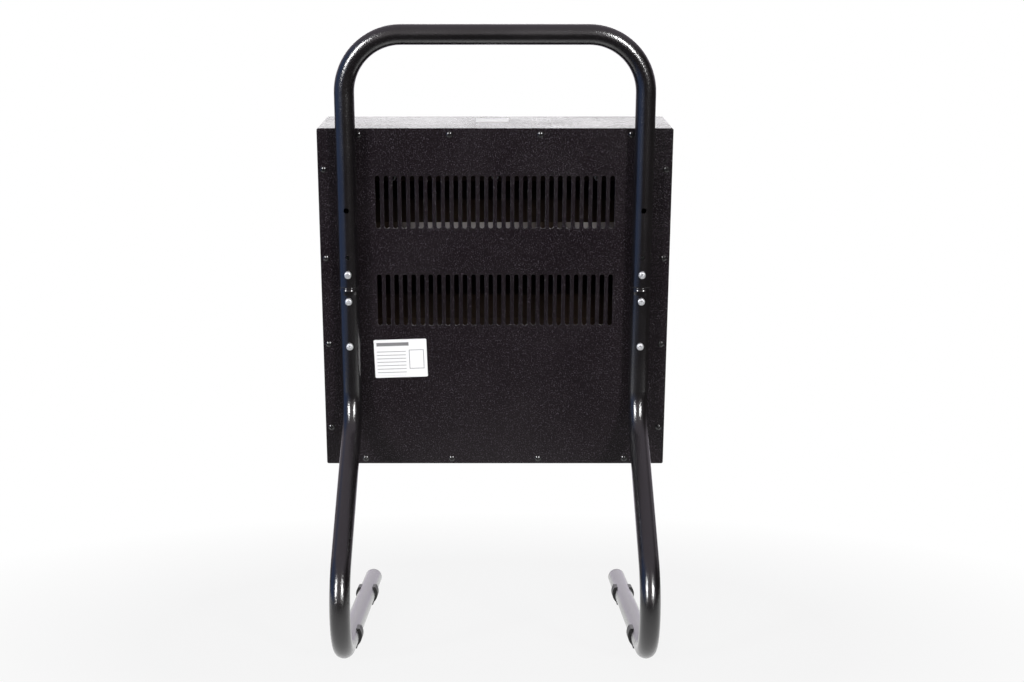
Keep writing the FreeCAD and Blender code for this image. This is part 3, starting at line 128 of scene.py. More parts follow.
coat_grain, coat_in, coat_out = start_group("Coat Grain", "Height", "Drift", "Specks")
pebble_depth = -0.7
fine_scale = 1.6
grain_pebble = shade_node(
    coat_grain,
    "TexVoronoi",
    {"Vector": coat_in["Vector"], "Scale": coat_in["Scale"], "Smoothness": 0.6},
    feature="SMOOTH_F1",
)
grain_fine = shade_node(
    coat_grain,
    "TexNoise",
    {"Vector": coat_in["Vector"], "Scale": times(coat_grain, coat_in["Scale"], fine_scale), "Detail": 2.0},
)
fine_level = grain_fine.outputs["Fac"]
pebble_height = times(coat_grain, grain_pebble.outputs["Distance"], pebble_depth)
coat_height = reckoned(coat_grain, "ADD", pebble_height, fine_level)
coat_drift = shade_node(coat_grain, "TexNoise", {"Vector": coat_in["Vector"], "Scale": 16.0, "Detail": 4.0})
coat_grain.links.new(coat_height, coat_out["Height"])
coat_grain.links.new(share_of(coat_grain, fine_level, start=0.58, end=0.70), coat_out["Specks"])
coat_grain.links.new(share_of(coat_grain, coat_drift.outputs["Fac"], start=0.3, end=0.7), coat_out["Drift"])

tube_grain = 480.0
tube_dark = (0.0036, 0.0029, 0.0034)
tube_pale = (0.0056, 0.0047, 0.0052)
tube_speck = (0.016, 0.014, 0.017)
tube_coat, tree, shader, spot = start_finish("Semi-gloss tube coat")
grain = use_group(tree, coat_grain, {"Vector": spot, "Scale": tube_grain})
tube_tone = blended(tree, grain["Drift"], tube_dark, tube_pale)
tree.links.new(blended(tree, grain["Specks"], tube_tone, tube_speck), shader.inputs["Base Color"])
tree.links.new(ranged(tree, grain["Drift"], low=0.18, high=0.24), shader.inputs["Roughness"])
shader.inputs["IOR"].default_value = 1.55
shader.inputs["Specular IOR Level"].default_value = 0.9
shader.inputs["Coat Weight"].default_value = 0.4
shader.inputs["Coat Roughness"].default_value = 0.16
embossed(tree, shader, grain["Height"], depth=0.00014)
dress(tube_coat, "left_leg_tube", "right_leg_tube", "handle_tube")

# Foot plugs: push-in caps that close the open front ends of the feet.
# Moulded black polyethylene with a spark-eroded matt skin, held by their own ribs.

moulded_skin, skin_in, skin_out = start_group("Moulded Skin", "Height", "Rub")
skin_pits = shade_node(
    moulded_skin,
    "TexNoise",
    {"Vector": skin_in["Vector"], "Scale": skin_in["Scale"], "Detail": 3.0, "Roughness": 0.7},
)
skin_rub = shade_node(
    moulded_skin, "TexNoise", {"Vector": skin_in["Vector"], "Scale": 60.0, "Detail": 5.0, "Distortion": 0.6}
)
moulded_skin.links.new(skin_pits.outputs["Fac"], skin_out["Height"])
rub_share = share_of(moulded_skin, skin_rub.outputs["Fac"], start=0.42, end=0.72)
moulded_skin.links.new(rub_share, skin_out["Rub"])


def plastic_finish(name, clean, rubbed_and_lit, scale, clean_rough, rubbed_rough, depth):
    finish, tree, shader, spot = start_finish(name)
    skin = use_group(tree, moulded_skin, {"Vector": spot, "Scale": scale})
    tree.links.new(blended(tree, skin["Rub"], clean, rubbed_and_lit), shader.inputs["Base Color"])
    tree.links.new(ranged(tree, skin["Rub"], clean_rough, rubbed_rough), shader.inputs["Roughness"])
    embossed(tree, shader, skin["Height"], depth)
    return finish


black_moulding = plastic_finish(
    "Black moulded plastic",
    clean=(0.010, 0.010, 0.011),
    rubbed_and_lit=(0.019, 0.019, 0.020),
    scale=1500.0,
    clean_rough=0.52,
    rubbed_rough=0.38,
    depth=0.00005,
)
dress(black_moulding, "left_foot_plug", "right_foot_plug")

# Saddle clips: four U-shaped rests pressed up onto the feet, with a flat pad on the floor.
# Moulded black rubber, a little greyer and rougher where it is rubbed.

clip_rubber = plastic_finish(
    "Black rubber",
    clean=(0.004, 0.004, 0.004),
    rubbed_and_lit=(0.009, 0.0088, 0.0086),
    scale=900.0,
    clean_rough=0.42,
    rubbed_rough=0.52,
    depth=0.00006,
)
dress(
    clip_rubber,
    "rear_left_foot_clip",
    "rear_right_foot_clip",
    "front_left_foot_clip",
    "front_right_foot_clip",
)

# Joining sleeves and anchor strips: the sleeves slide inside the tube ends and tie legs to handle,
# and the strips behind the box wall take the stand screws.
# Galvanised steel with a faint spangle.

galvanised, tree, shader, spot = start_finish("Galvanised steel", metallic=1.0)
spangle = shade_node(tree, "TexVoronoi", {"Vector": spot, "Scale": 170.0, "Randomness": 1.0})
spangle_share = shade_node(tree, "SeparateColor", {"Color": spangle.outputs["Color"]}).outputs["Red"]
rolling = shade_node(tree, "TexNoise", {"Vector": spot, "Scale": 900.0, "Detail": 3.0})
tree.links.new(
    blended(tree, spangle_share, (0.46, 0.47, 0.48), (0.60, 0.61, 0.62)), shader.inputs["Base Color"]
)
tree.links.new(ranged(tree, spangle_share, low=0.34, high=0.52), shader.inputs["Roughness"])
embossed(tree, shader, rolling.outputs["Fac"], depth=0.00003)
dress(
    galvanised,
    "left_joining_sleeve",
    "right_joining_sleeve",
    "left_anchor_strip",
    "right_anchor_strip",
)

# Rolled shoulders: each leg's top end is rolled in to a shoulder where the handle meets it.
# They are part of the coated tube, smoother than the rest, and leave a narrow groove at the seam.

selector_turn = next(joint for joint in frame["joints"] if joint["name"] == "selector_turn")
rearward = Vector(selector_turn["axis"])
across = Vector((1, 0, 0))
upward = across.cross(rearward)
panel_thick = 0.001
panel_low, panel_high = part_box("rear_panel")
panel_face = (panel_low + panel_high) / 2 + rearward * panel_thick / 2
unit = Matrix.Translation(panel_face) @ Matrix((across, rearward, upward)).transposed().to_4x4()
to_unit = unit.inverted()


def unit_box(name):
    spots = [to_unit @ vertex.co for vertex in frame["nodes"][name].data.vertices]
    low = Vector([min(place[way] for place in spots) for way in range(3)])
    high = Vector([max(place[way] for place in spots) for way in range(3)])
    return low, high


def unit_middle(name):
    low, high = unit_box(name)
    return (low + high) / 2


def turned(outline, steps):
    shape = bmesh.new()
    corners = [shape.verts.new((radius, 0, height)) for radius, height in outline]
    for number, corner in enumerate(corners):
        shape.edges.new((corners[number - 1], corner))
    bmesh.ops.spin(
        shape,
        geom=shape.edges[:] + shape.verts[:],
        cent=(0, 0, 0),
        axis=(0, 0, 1),
        angle=math.tau,
        steps=steps,
        use_merge=True,
    )
    bmesh.ops.remove_doubles(shape, verts=shape.verts, dist=1e-7)
    bmesh.ops.recalc_face_normals(shape, faces=shape.faces)
    return shape


def add_copies(whole, part, places=(Matrix(),)):
    shared = bpy.data.meshes.new("part")
    part.to_mesh(shared)
    part.free()
    for place in places:
        placed = shared.copy()
        placed.transform(place)
        whole.from_mesh(placed)
        bpy.data.meshes.remove(placed)
    bpy.data.meshes.remove(shared)


def finish_piece(shape, name, finish, body, slot, *nodes, crease=35):
    mesh = bpy.data.meshes.new(name)
    shape.to_mesh(mesh)
    shape.free()
    mesh.shade_smooth()
    mesh.set_sharp_from_angle(angle=math.radians(crease))
    mesh.materials.append(finish)
    piece = bpy.data.objects.new(name, mesh)
    bpy.context.scene.collection.objects.link(piece)
    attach(piece, body)
    if nodes:
        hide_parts(*nodes)


handle_low, handle_high = unit_box("handle_tube")
seam_top = handle_low.z
seam_bottom = unit_box("left_leg_tube")[1].z
seam_half = (seam_top - seam_bottom) / 2
tube_radius = (handle_high.y - handle_low.y) / 2
tube_axis_y = (handle_high.y + handle_low.y) / 2
sleeve_low, sleeve_high = unit_box("left_joining_sleeve")
sleeve_clear = 0.0001
sleeve_edge = (sleeve_high.x - sleeve_low.x) / 2 + sleeve_clear
skin_gap = 0.0002
groove = 0.0002
lip_chamfer = 0.0002
shoulder_length = 0.0085
shoulder_crown = [
    (0.0, shoulder_length),
    (0.00022, 0.0065),
    (0.00040, 0.0046),
    (0.00042, 0.0041),
    (0.00034, 0.0036),
    (0.00022, 0.0031),
    (-0.00032, 0.0011),
    (-0.00046, 0.0007),
    (-0.00068, 0.0003),
    (-0.00095, 0.0),
]
shoulder_outline = [
    (sleeve_edge, 0.0),
    (sleeve_edge, -seam_half),
    (tube_radius - skin_gap, -seam_half),
    (tube_radius - skin_gap, -shoulder_length),
    *((tube_radius + bulge, -drop) for bulge, drop in shoulder_crown),
]
lip_outline = [
    (sleeve_edge, groove),
    (tube_radius - lip_chamfer, groove),
    (tube_radius, groove + lip_chamfer),
    (tube_radius, seam_half),
    (sleeve_edge, seam_half),
]
seam_steps = 64

rolled_coat, tree, shader, spot = start_finish("Rolled tube coat")
grain = use_group(tree, coat_grain, {"Vector": spot, "Scale": tube_grain})
tree.links.new(blended(tree, grain["Drift"], tube_dark, tube_pale), shader.inputs["Base Color"])
tree.links.new(ranged(tree, grain["Drift"], low=0.14, high=0.19), shader.inputs["Roughness"])
shader.inputs["Coat Weight"].default_value = 1.0
shader.inputs["Coat Roughness"].default_value = 0.14
embossed(tree, shader, grain["Height"], depth=0.00004)

for side in ("left", "right"):
    seat = Vector((unit_middle(side + "_joining_sleeve").x, tube_axis_y, (seam_top + seam_bottom) / 2))
    seam = bmesh.new()
    for outline in (shoulder_outline, lip_outline):
        add_copies(seam, turned(outline, seam_steps))
    bmesh.ops.transform(seam, matrix=unit @ Matrix.Translation(seat), verts=seam.verts)
    finish_piece(seam, side + "_seam_shoulder", rolled_coat, "heater", "stand_paint", crease=50)

# Stand screws: three pan-head cross-recess screws a side, through the tube into the anchor strip.
# Zinc-plated steel, bright with a fine turned grain.

rub_dulling = 0.14


def plated_finish(name, bright, dull, gloss, scale):
    finish, tree, shader, spot = start_finish(name, metallic=1.0)
    skin = use_group(tree, moulded_skin, {"Vector": spot, "Scale": scale})
    tree.links.new(blended(tree, skin["Rub"], bright, dull), shader.inputs["Base Color"])
    tree.links.new(ranged(tree, skin["Rub"], gloss, gloss + rub_dulling), shader.inputs["Roughness"])
    embossed(tree, shader, skin["Height"], depth=0.00002)
    return finish


zinc_plate = plated_finish(
    "Zinc plate", bright=(0.80, 0.81, 0.82), dull=(0.66, 0.67, 0.68), gloss=0.44, scale=2600.0
)
dress(zinc_plate, "stand_screws")

# Heater box: one steel sheet folded into top, bottom, sides and window frame.
# Stoved in a textured black powder coat, deeper grained and duller than the tubes.

box_grain = 560.0
box_speck = (0.044, 0.037, 0.045)
box_coat, tree, shader, spot = start_finish("Textured box coat")
grain = use_group(tree, coat_grain, {"Vector": spot, "Scale": box_grain})
box_tone = blended(tree, grain["Drift"], (0.0058, 0.0037, 0.0050), (0.0079, 0.0053, 0.0069))
tree.links.new(blended(tree, grain["Specks"], box_tone, box_speck), shader.inputs["Base Color"])
tree.links.new(ranged(tree, grain["Drift"], low=0.20, high=0.27), shader.inputs["Roughness"])
shader.inputs["Specular IOR Level"].default_value = 0.38
embossed(tree, shader, grain["Height"], depth=0.00030)
dress(box_coat, "housing_shell")

# Rear panel: a flat steel lid with two bands of louvre slots, in the same coat as the box.
# Its punched edges are rolled over on the outside.
# It closes the box from behind, and sixteen small screws hold it round its edge.

flat_angle = math.radians(0.5)
rim_angle = math.radians(40)
rim_roll = 0.0006
face_reach = 1e-5
panel = bmesh.new()
panel.from_mesh(frame["nodes"]["rear_panel"].data)
bmesh.ops.remove_doubles(panel, verts=panel.verts, dist=1e-6)
bmesh.ops.dissolve_limit(panel, angle_limit=flat_angle, verts=panel.verts, edges=panel.edges)
outer_rims = [
    edge
    for edge in panel.edges
    if edge.calc_face_angle(0.0) > rim_angle
    and all(abs((to_unit @ vertex.co).y) < face_reach for vertex in edge.verts)
]
bmesh.ops.bevel(
    panel, geom=outer_rims, offset=rim_roll, segments=2, profile=0.5, affect="EDGES", material=-1
)
finish_piece(panel, "rear_panel_sheet", box_coat, "heater", "box_paint", "rear_panel", crease=5)

# Rear panel screws: sixteen small domed self-tapping screws with a cross recess.
# Steel with a thin glossy black lacquer, driven through the panel into the box flange.

head_radius = 0.0035
head_crown = 0.0022
head_side = 0.0008
head_grid = 18
recess_half = 0.17
recess_reach = 0.62
recess_depth = 0.0010
shank_radius = 0.0017
shank_length = 0.008
edge_margin_x = 0.0455
edge_margin_z = 0.045
edge_inset = 0.0065
edge_shares = (-1, -1 / 3, 1 / 3, 1)
screw = bmesh.new()
bmesh.ops.create_grid(screw, x_segments=head_grid, y_segments=head_grid, size=1.0)
for vertex in screw.verts:
    x, y = vertex.co.xy
    in_arm = min(abs(x), abs(y)) < recess_half and max(abs(x), abs(y)) < recess_reach
    round_x = x * math.sqrt(1 - y * y / 2)
    round_y = y * math.sqrt(1 - x * x / 2)
    rise = head_crown - (head_crown - head_side) * (round_x**2 + round_y**2)
    vertex.co = (round_x * head_radius, round_y * head_radius, rise - recess_depth * in_arm)
rim = [edge for edge in screw.edges if edge.is_boundary]
skirt = bmesh.ops.extrude_edge_only(screw, edges=rim)["geom"]
for vertex in [item for item in skirt if isinstance(item, bmesh.types.BMVert)]:
    vertex.co.z = 0.0
bmesh.ops.holes_fill(screw, edges=[edge for edge in screw.edges if edge.is_boundary])
shank = bmesh.ops.create_cone(
    screw, cap_ends=True, segments=12, radius1=shank_radius / 2, radius2=shank_radius, depth=shank_length
)["verts"]
bmesh.ops.translate(screw, verts=shank, vec=(0, 0, -shank_length / 2))
bmesh.ops.recalc_face_normals(screw, faces=screw.faces)
face_low, face_high = unit_box("rear_panel")
half_x = (face_high.x - face_low.x) / 2
half_z = (face_high.z - face_low.z) / 2
edge_spots = []
for share in edge_shares:
    for way in (-1, 1):
        edge_spots.append((share * (half_x - edge_margin_x), way * (half_z - edge_inset)))
        edge_spots.append((way * (half_x - edge_inset), share * (half_z - edge_margin_z)))
facing_rear = Matrix((-across, upward, rearward)).transposed().to_4x4()
screw_places = [Matrix.Translation(unit @ Vector((x, 0, z))) @ facing_rear for x, z in edge_spots]
rear_screws = bmesh.new()
add_copies(rear_screws, screw, screw_places)

black_lacquer, tree, shader, spot = start_finish("Black lacquer")
skin = use_group(tree, moulded_skin, {"Vector": spot, "Scale": 900.0})
lacquer_tone = blended(tree, skin["Rub"], (0.010, 0.0095, 0.010), (0.020, 0.019, 0.019))
tree.links.new(lacquer_tone, shader.inputs["Base Color"])
tree.links.new(ranged(tree, skin["Rub"], low=0.06, high=0.11), shader.inputs["Roughness"])
shader.inputs["Specular IOR Level"].default_value = 0.7
embossed(tree, shader, skin["Height"], depth=0.00001)
finish_piece(
    rear_screws, "rear_screw_heads", black_lacquer, "heater", "black_screw", "rear_panel_screws", crease=40
)

# Rating label: a blank ruled form on the panel below the slots, put on slightly out of square.
# White coated paper with grey printed rules and rounded corners.


def sticker(width, height, thick, corner, layer):
    shape = bmesh.new()
    bmesh.ops.create_grid(shape, x_segments=1, y_segments=1, size=0.5)
    bmesh.ops.transform(shape, matrix=Matrix.Diagonal((width, height, 1, 1)), verts=shape.verts)
    bmesh.ops.bevel(
        shape, geom=shape.verts[:], offset=corner, segments=4, profile=0.5, affect="VERTICES", material=-1
    )
    top = bmesh.ops.extrude_face_region(shape, geom=shape.faces[:])
    lifted = [item for item in top["geom"] if isinstance(item, bmesh.types.BMVert)]
    bmesh.ops.translate(shape, verts=lifted, vec=(0, 0, thick))
    bmesh.ops.recalc_face_normals(shape, faces=shape.faces)
    sheet = shape.loops.layers.uv.new(layer)
    for face in shape.faces:
        for loop in face.loops:
            loop[sheet].uv = (loop.vert.co.x / width + 0.5, loop.vert.co.y / height + 0.5)
    return shape


def between(tree, given, low, high):
    above = reckoned(tree, "GREATER_THAN", given, low)
    below = reckoned(tree, "LESS_THAN", given, high)
    return times(tree, above, below)


def either(tree, first, second):
    return reckoned(tree, "MAXIMUM", first, second)


label_paper, tree, shader, spot = start_finish("Ruled label paper", roughness=0.38)
form = shade_node(tree, "UVMap", uv_map="form").outputs["UV"]
form_xyz = shade_node(tree, "SeparateXYZ", {"Vector": form}).outputs


def in_area(wide, high):
    return times(tree, between(tree, form_xyz["X"], *wide), between(tree, form_xyz["Y"], *high))


row_count = 11.0
rule_band = (0.42, 0.58)
ink_strength = 0.82
row_share = reckoned(tree, "MODULO", times(tree, form_xyz["Y"], row_count), 1.0)
rule_lines = between(tree, row_share, *rule_band)
rules = times(tree, rule_lines, in_area(wide=(0.05, 0.60), high=(0.05, 0.72)))
title_bar = in_area(wide=(0.05, 0.66), high=(0.83, 0.92))
boxed = in_area(wide=(0.66, 0.94), high=(0.22, 0.72))
hollow = in_area(wide=(0.671, 0.929), high=(0.235, 0.705))
box_line = reckoned(tree, "SUBTRACT", boxed, hollow)
printed = either(tree, either(tree, rules, title_bar), box_line)
paper_fibre = shade_node(tree, "TexNoise", {"Vector": spot, "Scale": 1400.0, "Detail": 4.0})
paper_tone = blended(tree, paper_fibre.outputs["Fac"], (0.76, 0.76, 0.77), (0.82, 0.82, 0.82))
label_tone = blended(tree, times(tree, printed, ink_strength), paper_tone, (0.05, 0.05, 0.055))
tree.links.new(label_tone, shader.inputs["Base Color"])
embossed(tree, shader, paper_fibre.outputs["Fac"], depth=0.00001)

label_width = 0.060
label_height = 0.045
label_thick = 0.00015
label_corner = 0.0015
label_turn = Matrix.Rotation(math.radians(1.8), 4, "Z")
label_middle = unit_middle("rating_label")
rating = sticker(label_width, label_height, label_thick, label_corner, "form")
rating_place = Matrix.Translation(unit @ Vector((label_middle.x, 0, label_middle.z)))
bmesh.ops.transform(rating, matrix=rating_place @ facing_rear @ label_turn, verts=rating.verts)
finish_piece(rating, "rating_form", label_paper, "heater", "label_stock", "rating_label")

# Top sticker: a small bare sticker on top of the box.
# White coated paper with rounded corners, held by its own adhesive.

bare_paper, tree, shader, spot = start_finish("Bare sticker paper", roughness=0.4)
paper_fibre = shade_node(tree, "TexNoise", {"Vector": spot, "Scale": 1200.0, "Detail": 4.0})
tree.links.new(
    blended(tree, paper_fibre.outputs["Fac"], (0.74, 0.74, 0.74), (0.82, 0.82, 0.81)),
    shader.inputs["Base Color"],
)
embossed(tree, shader, paper_fibre.outputs["Fac"], depth=0.00001)
top_low, top_high = unit_box("top_label")
top_sticker = sticker(top_high.x - top_low.x, top_high.y - top_low.y, label_thick, label_corner, "form")
top_place = Vector(((top_low.x + top_high.x) / 2, (top_low.y + top_high.y) / 2, top_low.z))
bmesh.ops.transform(top_sticker, matrix=unit @ Matrix.Translation(top_place), verts=top_sticker.verts)
finish_piece(top_sticker, "top_sticker", bare_paper, "heater", "label_stock", "top_label")

# Twin reflector: one bright rolled aluminium sheet folded into two troughs behind the lamps.
# It hangs on studs inside the window.
# Its back is painted dark brown as painted shade for the dark inside of the box, with painted light on two
# patches of the upper crown that face the rear slots.

bright_sheet, tree, shader, spot = start_finish("Bright rolled aluminium", metallic=1.0)
stretch = shade_node(tree, "Mapping", {"Vector": spot, "Scale": (12.0, 900.0, 900.0)})
roll_lines = shade_node(tree, "TexNoise", {"Vector": stretch.outputs["Vector"], "Scale": 1.0, "Detail": 4.0})
haze = shade_node(tree, "TexNoise", {"Vector": spot, "Scale": 24.0, "Detail": 4.0})
sheet_normal = shade_node(tree, "NewGeometry").outputs["True Normal"]
sheet_middle = unit @ unit_middle("twin_reflector")
from_middle = shade_node(tree, "VectorMath", {0: spot, 1: sheet_middle}, operation="SUBTRACT")


def along_way(given, way):
    return shade_node(tree, "VectorMath", {0: given, 1: way}, operation="DOT_PRODUCT").outputs["Value"]


crown_facing = 0.93
crown_rise = 0.075
facing_back = along_way(sheet_normal, rearward)
back_share = reckoned(tree, "GREATER_THAN", facing_back, 0.0)
crown_share = reckoned(tree, "GREATER_THAN", facing_back, crown_facing)
upper_share = between(tree, along_way(from_middle.outputs["Vector"], upward), 0.0, crown_rise)
sheet_x = shade_node(tree, "SeparateXYZ", {"Vector": spot}).outputs["X"]


# Painted light: a pale patch along X, full inside core and fading out by reach.
def rubbed_patch(centre, core, reach):
    distance = reckoned(tree, "ABSOLUTE", reckoned(tree, "SUBTRACT", sheet_x, centre))
    return ranged(tree, distance, 1.0, 0.0, core, reach)


# Two painted-light patches on the upper crown, where light comes in through the rear slots.
long_lit_patch = rubbed_patch(centre=0.030, core=0.045, reach=0.085)
short_lit_patch = rubbed_patch(centre=-0.110, core=0.010, reach=0.040)
rubbed_and_lit = either(tree, long_lit_patch, short_lit_patch)
face_tone = blended(tree, haze.outputs["Fac"], (0.74, 0.745, 0.75), (0.82, 0.82, 0.815))
# Painted shade: the back is painted a near-black brown for the dark inside of the box.
back_shade_tone = blended(tree, haze.outputs["Fac"], (0.022, 0.019, 0.018), (0.075, 0.050, 0.034))
# Painted light: the pale bare tone shows only on the crown patches.
lit_crown_share = times(tree, times(tree, crown_share, upper_share), rubbed_and_lit)
back_tone = blended(tree, lit_crown_share, back_shade_tone, (0.46, 0.43, 0.42))
tree.links.new(blended(tree, back_share, face_tone, back_tone), shader.inputs["Base Color"])
back_dulling = 0.23
face_gloss = ranged(tree, roll_lines.outputs["Fac"], low=0.17, high=0.27)
sheet_gloss = reckoned(tree, "ADD", face_gloss, times(tree, back_share, back_dulling))
tree.links.new(sheet_gloss, shader.inputs["Roughness"])
embossed(tree, shader, roll_lines.outputs["Fac"], depth=0.00001)
dress(bright_sheet, "twin_reflector")

# Lamp brackets and stud nuts: a folded end bracket each side holds the lamp holders,
# and plain hexagon nuts clamp the sheets on their studs.
# Brackets galvanised, nuts zinc plated.

dress(galvanised, "left_lamp_bracket", "right_lamp_bracket")
dress(zinc_plate, "stud_nuts")

# Lamps: two quartz tubes with a coiled tungsten filament on ring supports.
# Satin fused quartz, drawn. The coil is wound from one wire, and its rings centre it in the tube.

quartz, tree, shader, spot = start_finish("Satin quartz", roughness=0.32)
shader.inputs["Transmission Weight"].default_value = 1.0
shader.inputs["IOR"].default_value = 1.46
shader.inputs["Base Color"].default_value = (0.97, 0.975, 0.97, 1)
draw_lines = shade_node(tree, "Mapping", {"Vector": spot, "Scale": (6.0, 500.0, 500.0)})
draw_noise = shade_node(tree, "TexNoise", {"Vector": draw_lines.outputs["Vector"], "Scale": 1.0})
embossed(tree, shader, draw_noise.outputs["Fac"], depth=0.00001)
dress(quartz, "upper_lamp_tube", "lower_lamp_tube")

tungsten = plated_finish(
    "Tungsten wire", bright=(0.30, 0.29, 0.28), dull=(0.20, 0.195, 0.19), gloss=0.36, scale=3200.0
)
coil_radius = 0.0009
coil_wire = 0.00036
coil_steps = 10
coil_doublings = 8
ring_wire = 0.0005
ring_count = 9
ring_steps = 24
quarter_turn = math.pi / 2
on_end = Matrix.Rotation(quarter_turn, 3, "Y")
for level in ("upper", "lower"):
    coil_low, coil_high = unit_box(level + "_lamp_filament")
    coil_length = coil_high.x - coil_low.x
    ring_radius = (coil_high.z - coil_low.z) / 2 - ring_wire / 2
    coil_span = coil_length - coil_wire
    coil_pitch = coil_span / 2**coil_doublings
    coil = bmesh.new()
    wire = bmesh.ops.create_circle(coil, segments=6, radius=coil_wire / 2)["verts"]
    bmesh.ops.rotate(coil, verts=wire, cent=(0, 0, 0), matrix=Matrix.Rotation(quarter_turn, 3, "X"))
    bmesh.ops.translate(coil, verts=wire, vec=(-coil_span / 2, 0, coil_radius))
    bmesh.ops.spin(
        coil,
        geom=coil.edges[:] + coil.verts[:],
        cent=(0, 0, 0),
        axis=(1, 0, 0),
        dvec=(coil_pitch / coil_steps, 0, 0),
        angle=math.tau,
        steps=coil_steps,
    )
    for doubling in range(coil_doublings):
        copied = bmesh.ops.duplicate(coil, geom=coil.verts[:] + coil.edges[:] + coil.faces[:])["geom"]
        moved = [item for item in copied if isinstance(item, bmesh.types.BMVert)]
        bmesh.ops.translate(coil, verts=moved, vec=(coil_pitch * 2**doubling, 0, 0))
    bmesh.ops.remove_doubles(coil, verts=coil.verts, dist=coil_wire / 20)
    bmesh.ops.holes_fill(coil, edges=[edge for edge in coil.edges if edge.is_boundary], sides=6)
    ring = turned(
        [
            (ring_radius + ring_wire / 2, -ring_wire / 2),
            (ring_radius + ring_wire / 2, ring_wire / 2),
            (ring_radius - ring_wire / 2, ring_wire / 2),
            (ring_radius - ring_wire / 2, -ring_wire / 2),
        ],
        ring_steps,
    )
    spoke = bmesh.ops.create_cone(
        ring,
        cap_ends=True,
        segments=6,
        radius1=ring_wire / 2,
        radius2=ring_wire / 2,
        depth=ring_radius - coil_radius,
    )["verts"]
    bmesh.ops.translate(ring, verts=spoke, vec=(0, 0, (ring_radius + coil_radius) / 2))
    bmesh.ops.rotate(ring, verts=spoke, cent=(0, 0, 0), matrix=on_end)
    bmesh.ops.rotate(ring, verts=ring.verts, cent=(0, 0, 0), matrix=on_end)
    ring_gap = coil_length / (ring_count + 1)
    ring_spots = [(number - (ring_count - 1) / 2) * ring_gap for number in range(ring_count)]
    add_copies(coil, ring, [Matrix.Translation((ring_x, 0, 0)) for ring_x in ring_spots])
    bmesh.ops.recalc_face_normals(coil, faces=coil.faces)
    lamp_place = unit @ Matrix.Translation((coil_low + coil_high) / 2)
    bmesh.ops.transform(coil, matrix=lamp_place, verts=coil.verts)
    finish_piece(
        coil, level + "_lamp_coil", tungsten, "heater", "tungsten", level + "_lamp_filament", crease=70
    )

# Lamp caps and holders: pressed ceramic caps on the tube ends, gripped by ceramic blocks.
# Unglazed white steatite, faintly speckled.

ceramic, tree, shader, spot = start_finish("Unglazed steatite", roughness=0.6)
fleck = shade_node(tree, "TexNoise", {"Vector": spot, "Scale": 1300.0, "Detail": 2.0})
cloud = shade_node(tree, "TexNoise", {"Vector": spot, "Scale": 90.0, "Detail": 3.0})
fleck_share = share_of(tree, fleck.outputs["Fac"], start=0.66, end=0.72)
ceramic_base = blended(tree, cloud.outputs["Fac"], (0.70, 0.67, 0.61), (0.80, 0.78, 0.73))
fleck_strength = 0.5
ceramic_tone = blended(tree, times(tree, fleck_share, fleck_strength), ceramic_base, (0.35, 0.31, 0.26))
tree.links.new(ceramic_tone, shader.inputs["Base Color"])
embossed(tree, shader, fleck.outputs["Fac"], depth=0.00006)
dress(ceramic, "upper_lamp_caps", "lower_lamp_caps")
for level in ("upper", "lower"):
    dress(ceramic, level + "_left_lamp_holder", level + "_right_lamp_holder")

# Heat shield and cut-out: a folded shelf keeps the lamps' heat off the controls,
# with a thermal cut-out clipped under its middle.
# Galvanised sheet and a pressed steel can.

dress(galvanised, "heat_shield", "thermal_cutout")

# Wire guard: a rod frame with close wires and three stays across the window.
# Chrome-plated steel wire, resistance welded at each crossing, so each crossing has a small nugget.

chrome_wire = plated_finish(
    "Chrome wire", bright=(0.72, 0.73, 0.75), dull=(0.60, 0.61, 0.63), gloss=0.09, scale=1600.0
)
dress(chrome_wire, "wire_guard")
guard_rod = 0.005
guard_wire = 0.0024
guard_pitch = 0.012
guard_wires = 18
nugget_radius = guard_wire * 0.62
nugget_shape = (1.25, 0.9, 0.9)
guard_low, guard_high = unit_box("wire_guard")
guard_middle = (guard_low + guard_high) / 2
guard_half = (guard_high.x - guard_low.x - guard_rod) / 2
wire_front = guard_low.y + guard_wire / 2
nuggets = bmesh.new()
for row in range(guard_wires):
    nugget_z = guard_middle.z + (row - (guard_wires - 1) / 2) * guard_pitch
    for column in (-2, -1, 0, 1, 2):
        nugget = bmesh.ops.create_icosphere(nuggets, subdivisions=1, radius=nugget_radius)["verts"]
        bmesh.ops.scale(nuggets, verts=nugget, vec=nugget_shape)
        nugget_place = (column * guard_half / 2, wire_front + nugget_radius, nugget_z)
        bmesh.ops.translate(nuggets, verts=nugget, vec=nugget_place)
bmesh.ops.transform(nuggets, matrix=unit, verts=nuggets.verts)
finish_piece(nuggets, "guard_nuggets", chrome_wire, "heater", "chrome_wire", crease=80)

# Guard clips and screws: folded tabs over the guard's rails, each with one pan-head screw.
# Zinc-plated spring steel.

dress(zinc_plate, "guard_clips", "guard_screws")

# Heat selector: a rotary switch behind the front with a turned shaft, nut and knob.
# Grey moulded body, zinc-plated nut and shaft, black moulded knob with a white inlaid pointer.

grey_moulding = plastic_finish(
    "Grey moulded plastic",
    clean=(0.16, 0.165, 0.17),
    rubbed_and_lit=(0.20, 0.205, 0.21),
    scale=1300.0,
    clean_rough=0.5,
    rubbed_rough=0.4,
    depth=0.00005,
)
dress(grey_moulding, "selector_switch")
dress(zinc_plate, "selector_nut", "selector_shaft")
dress(black_moulding, "selector_knob")

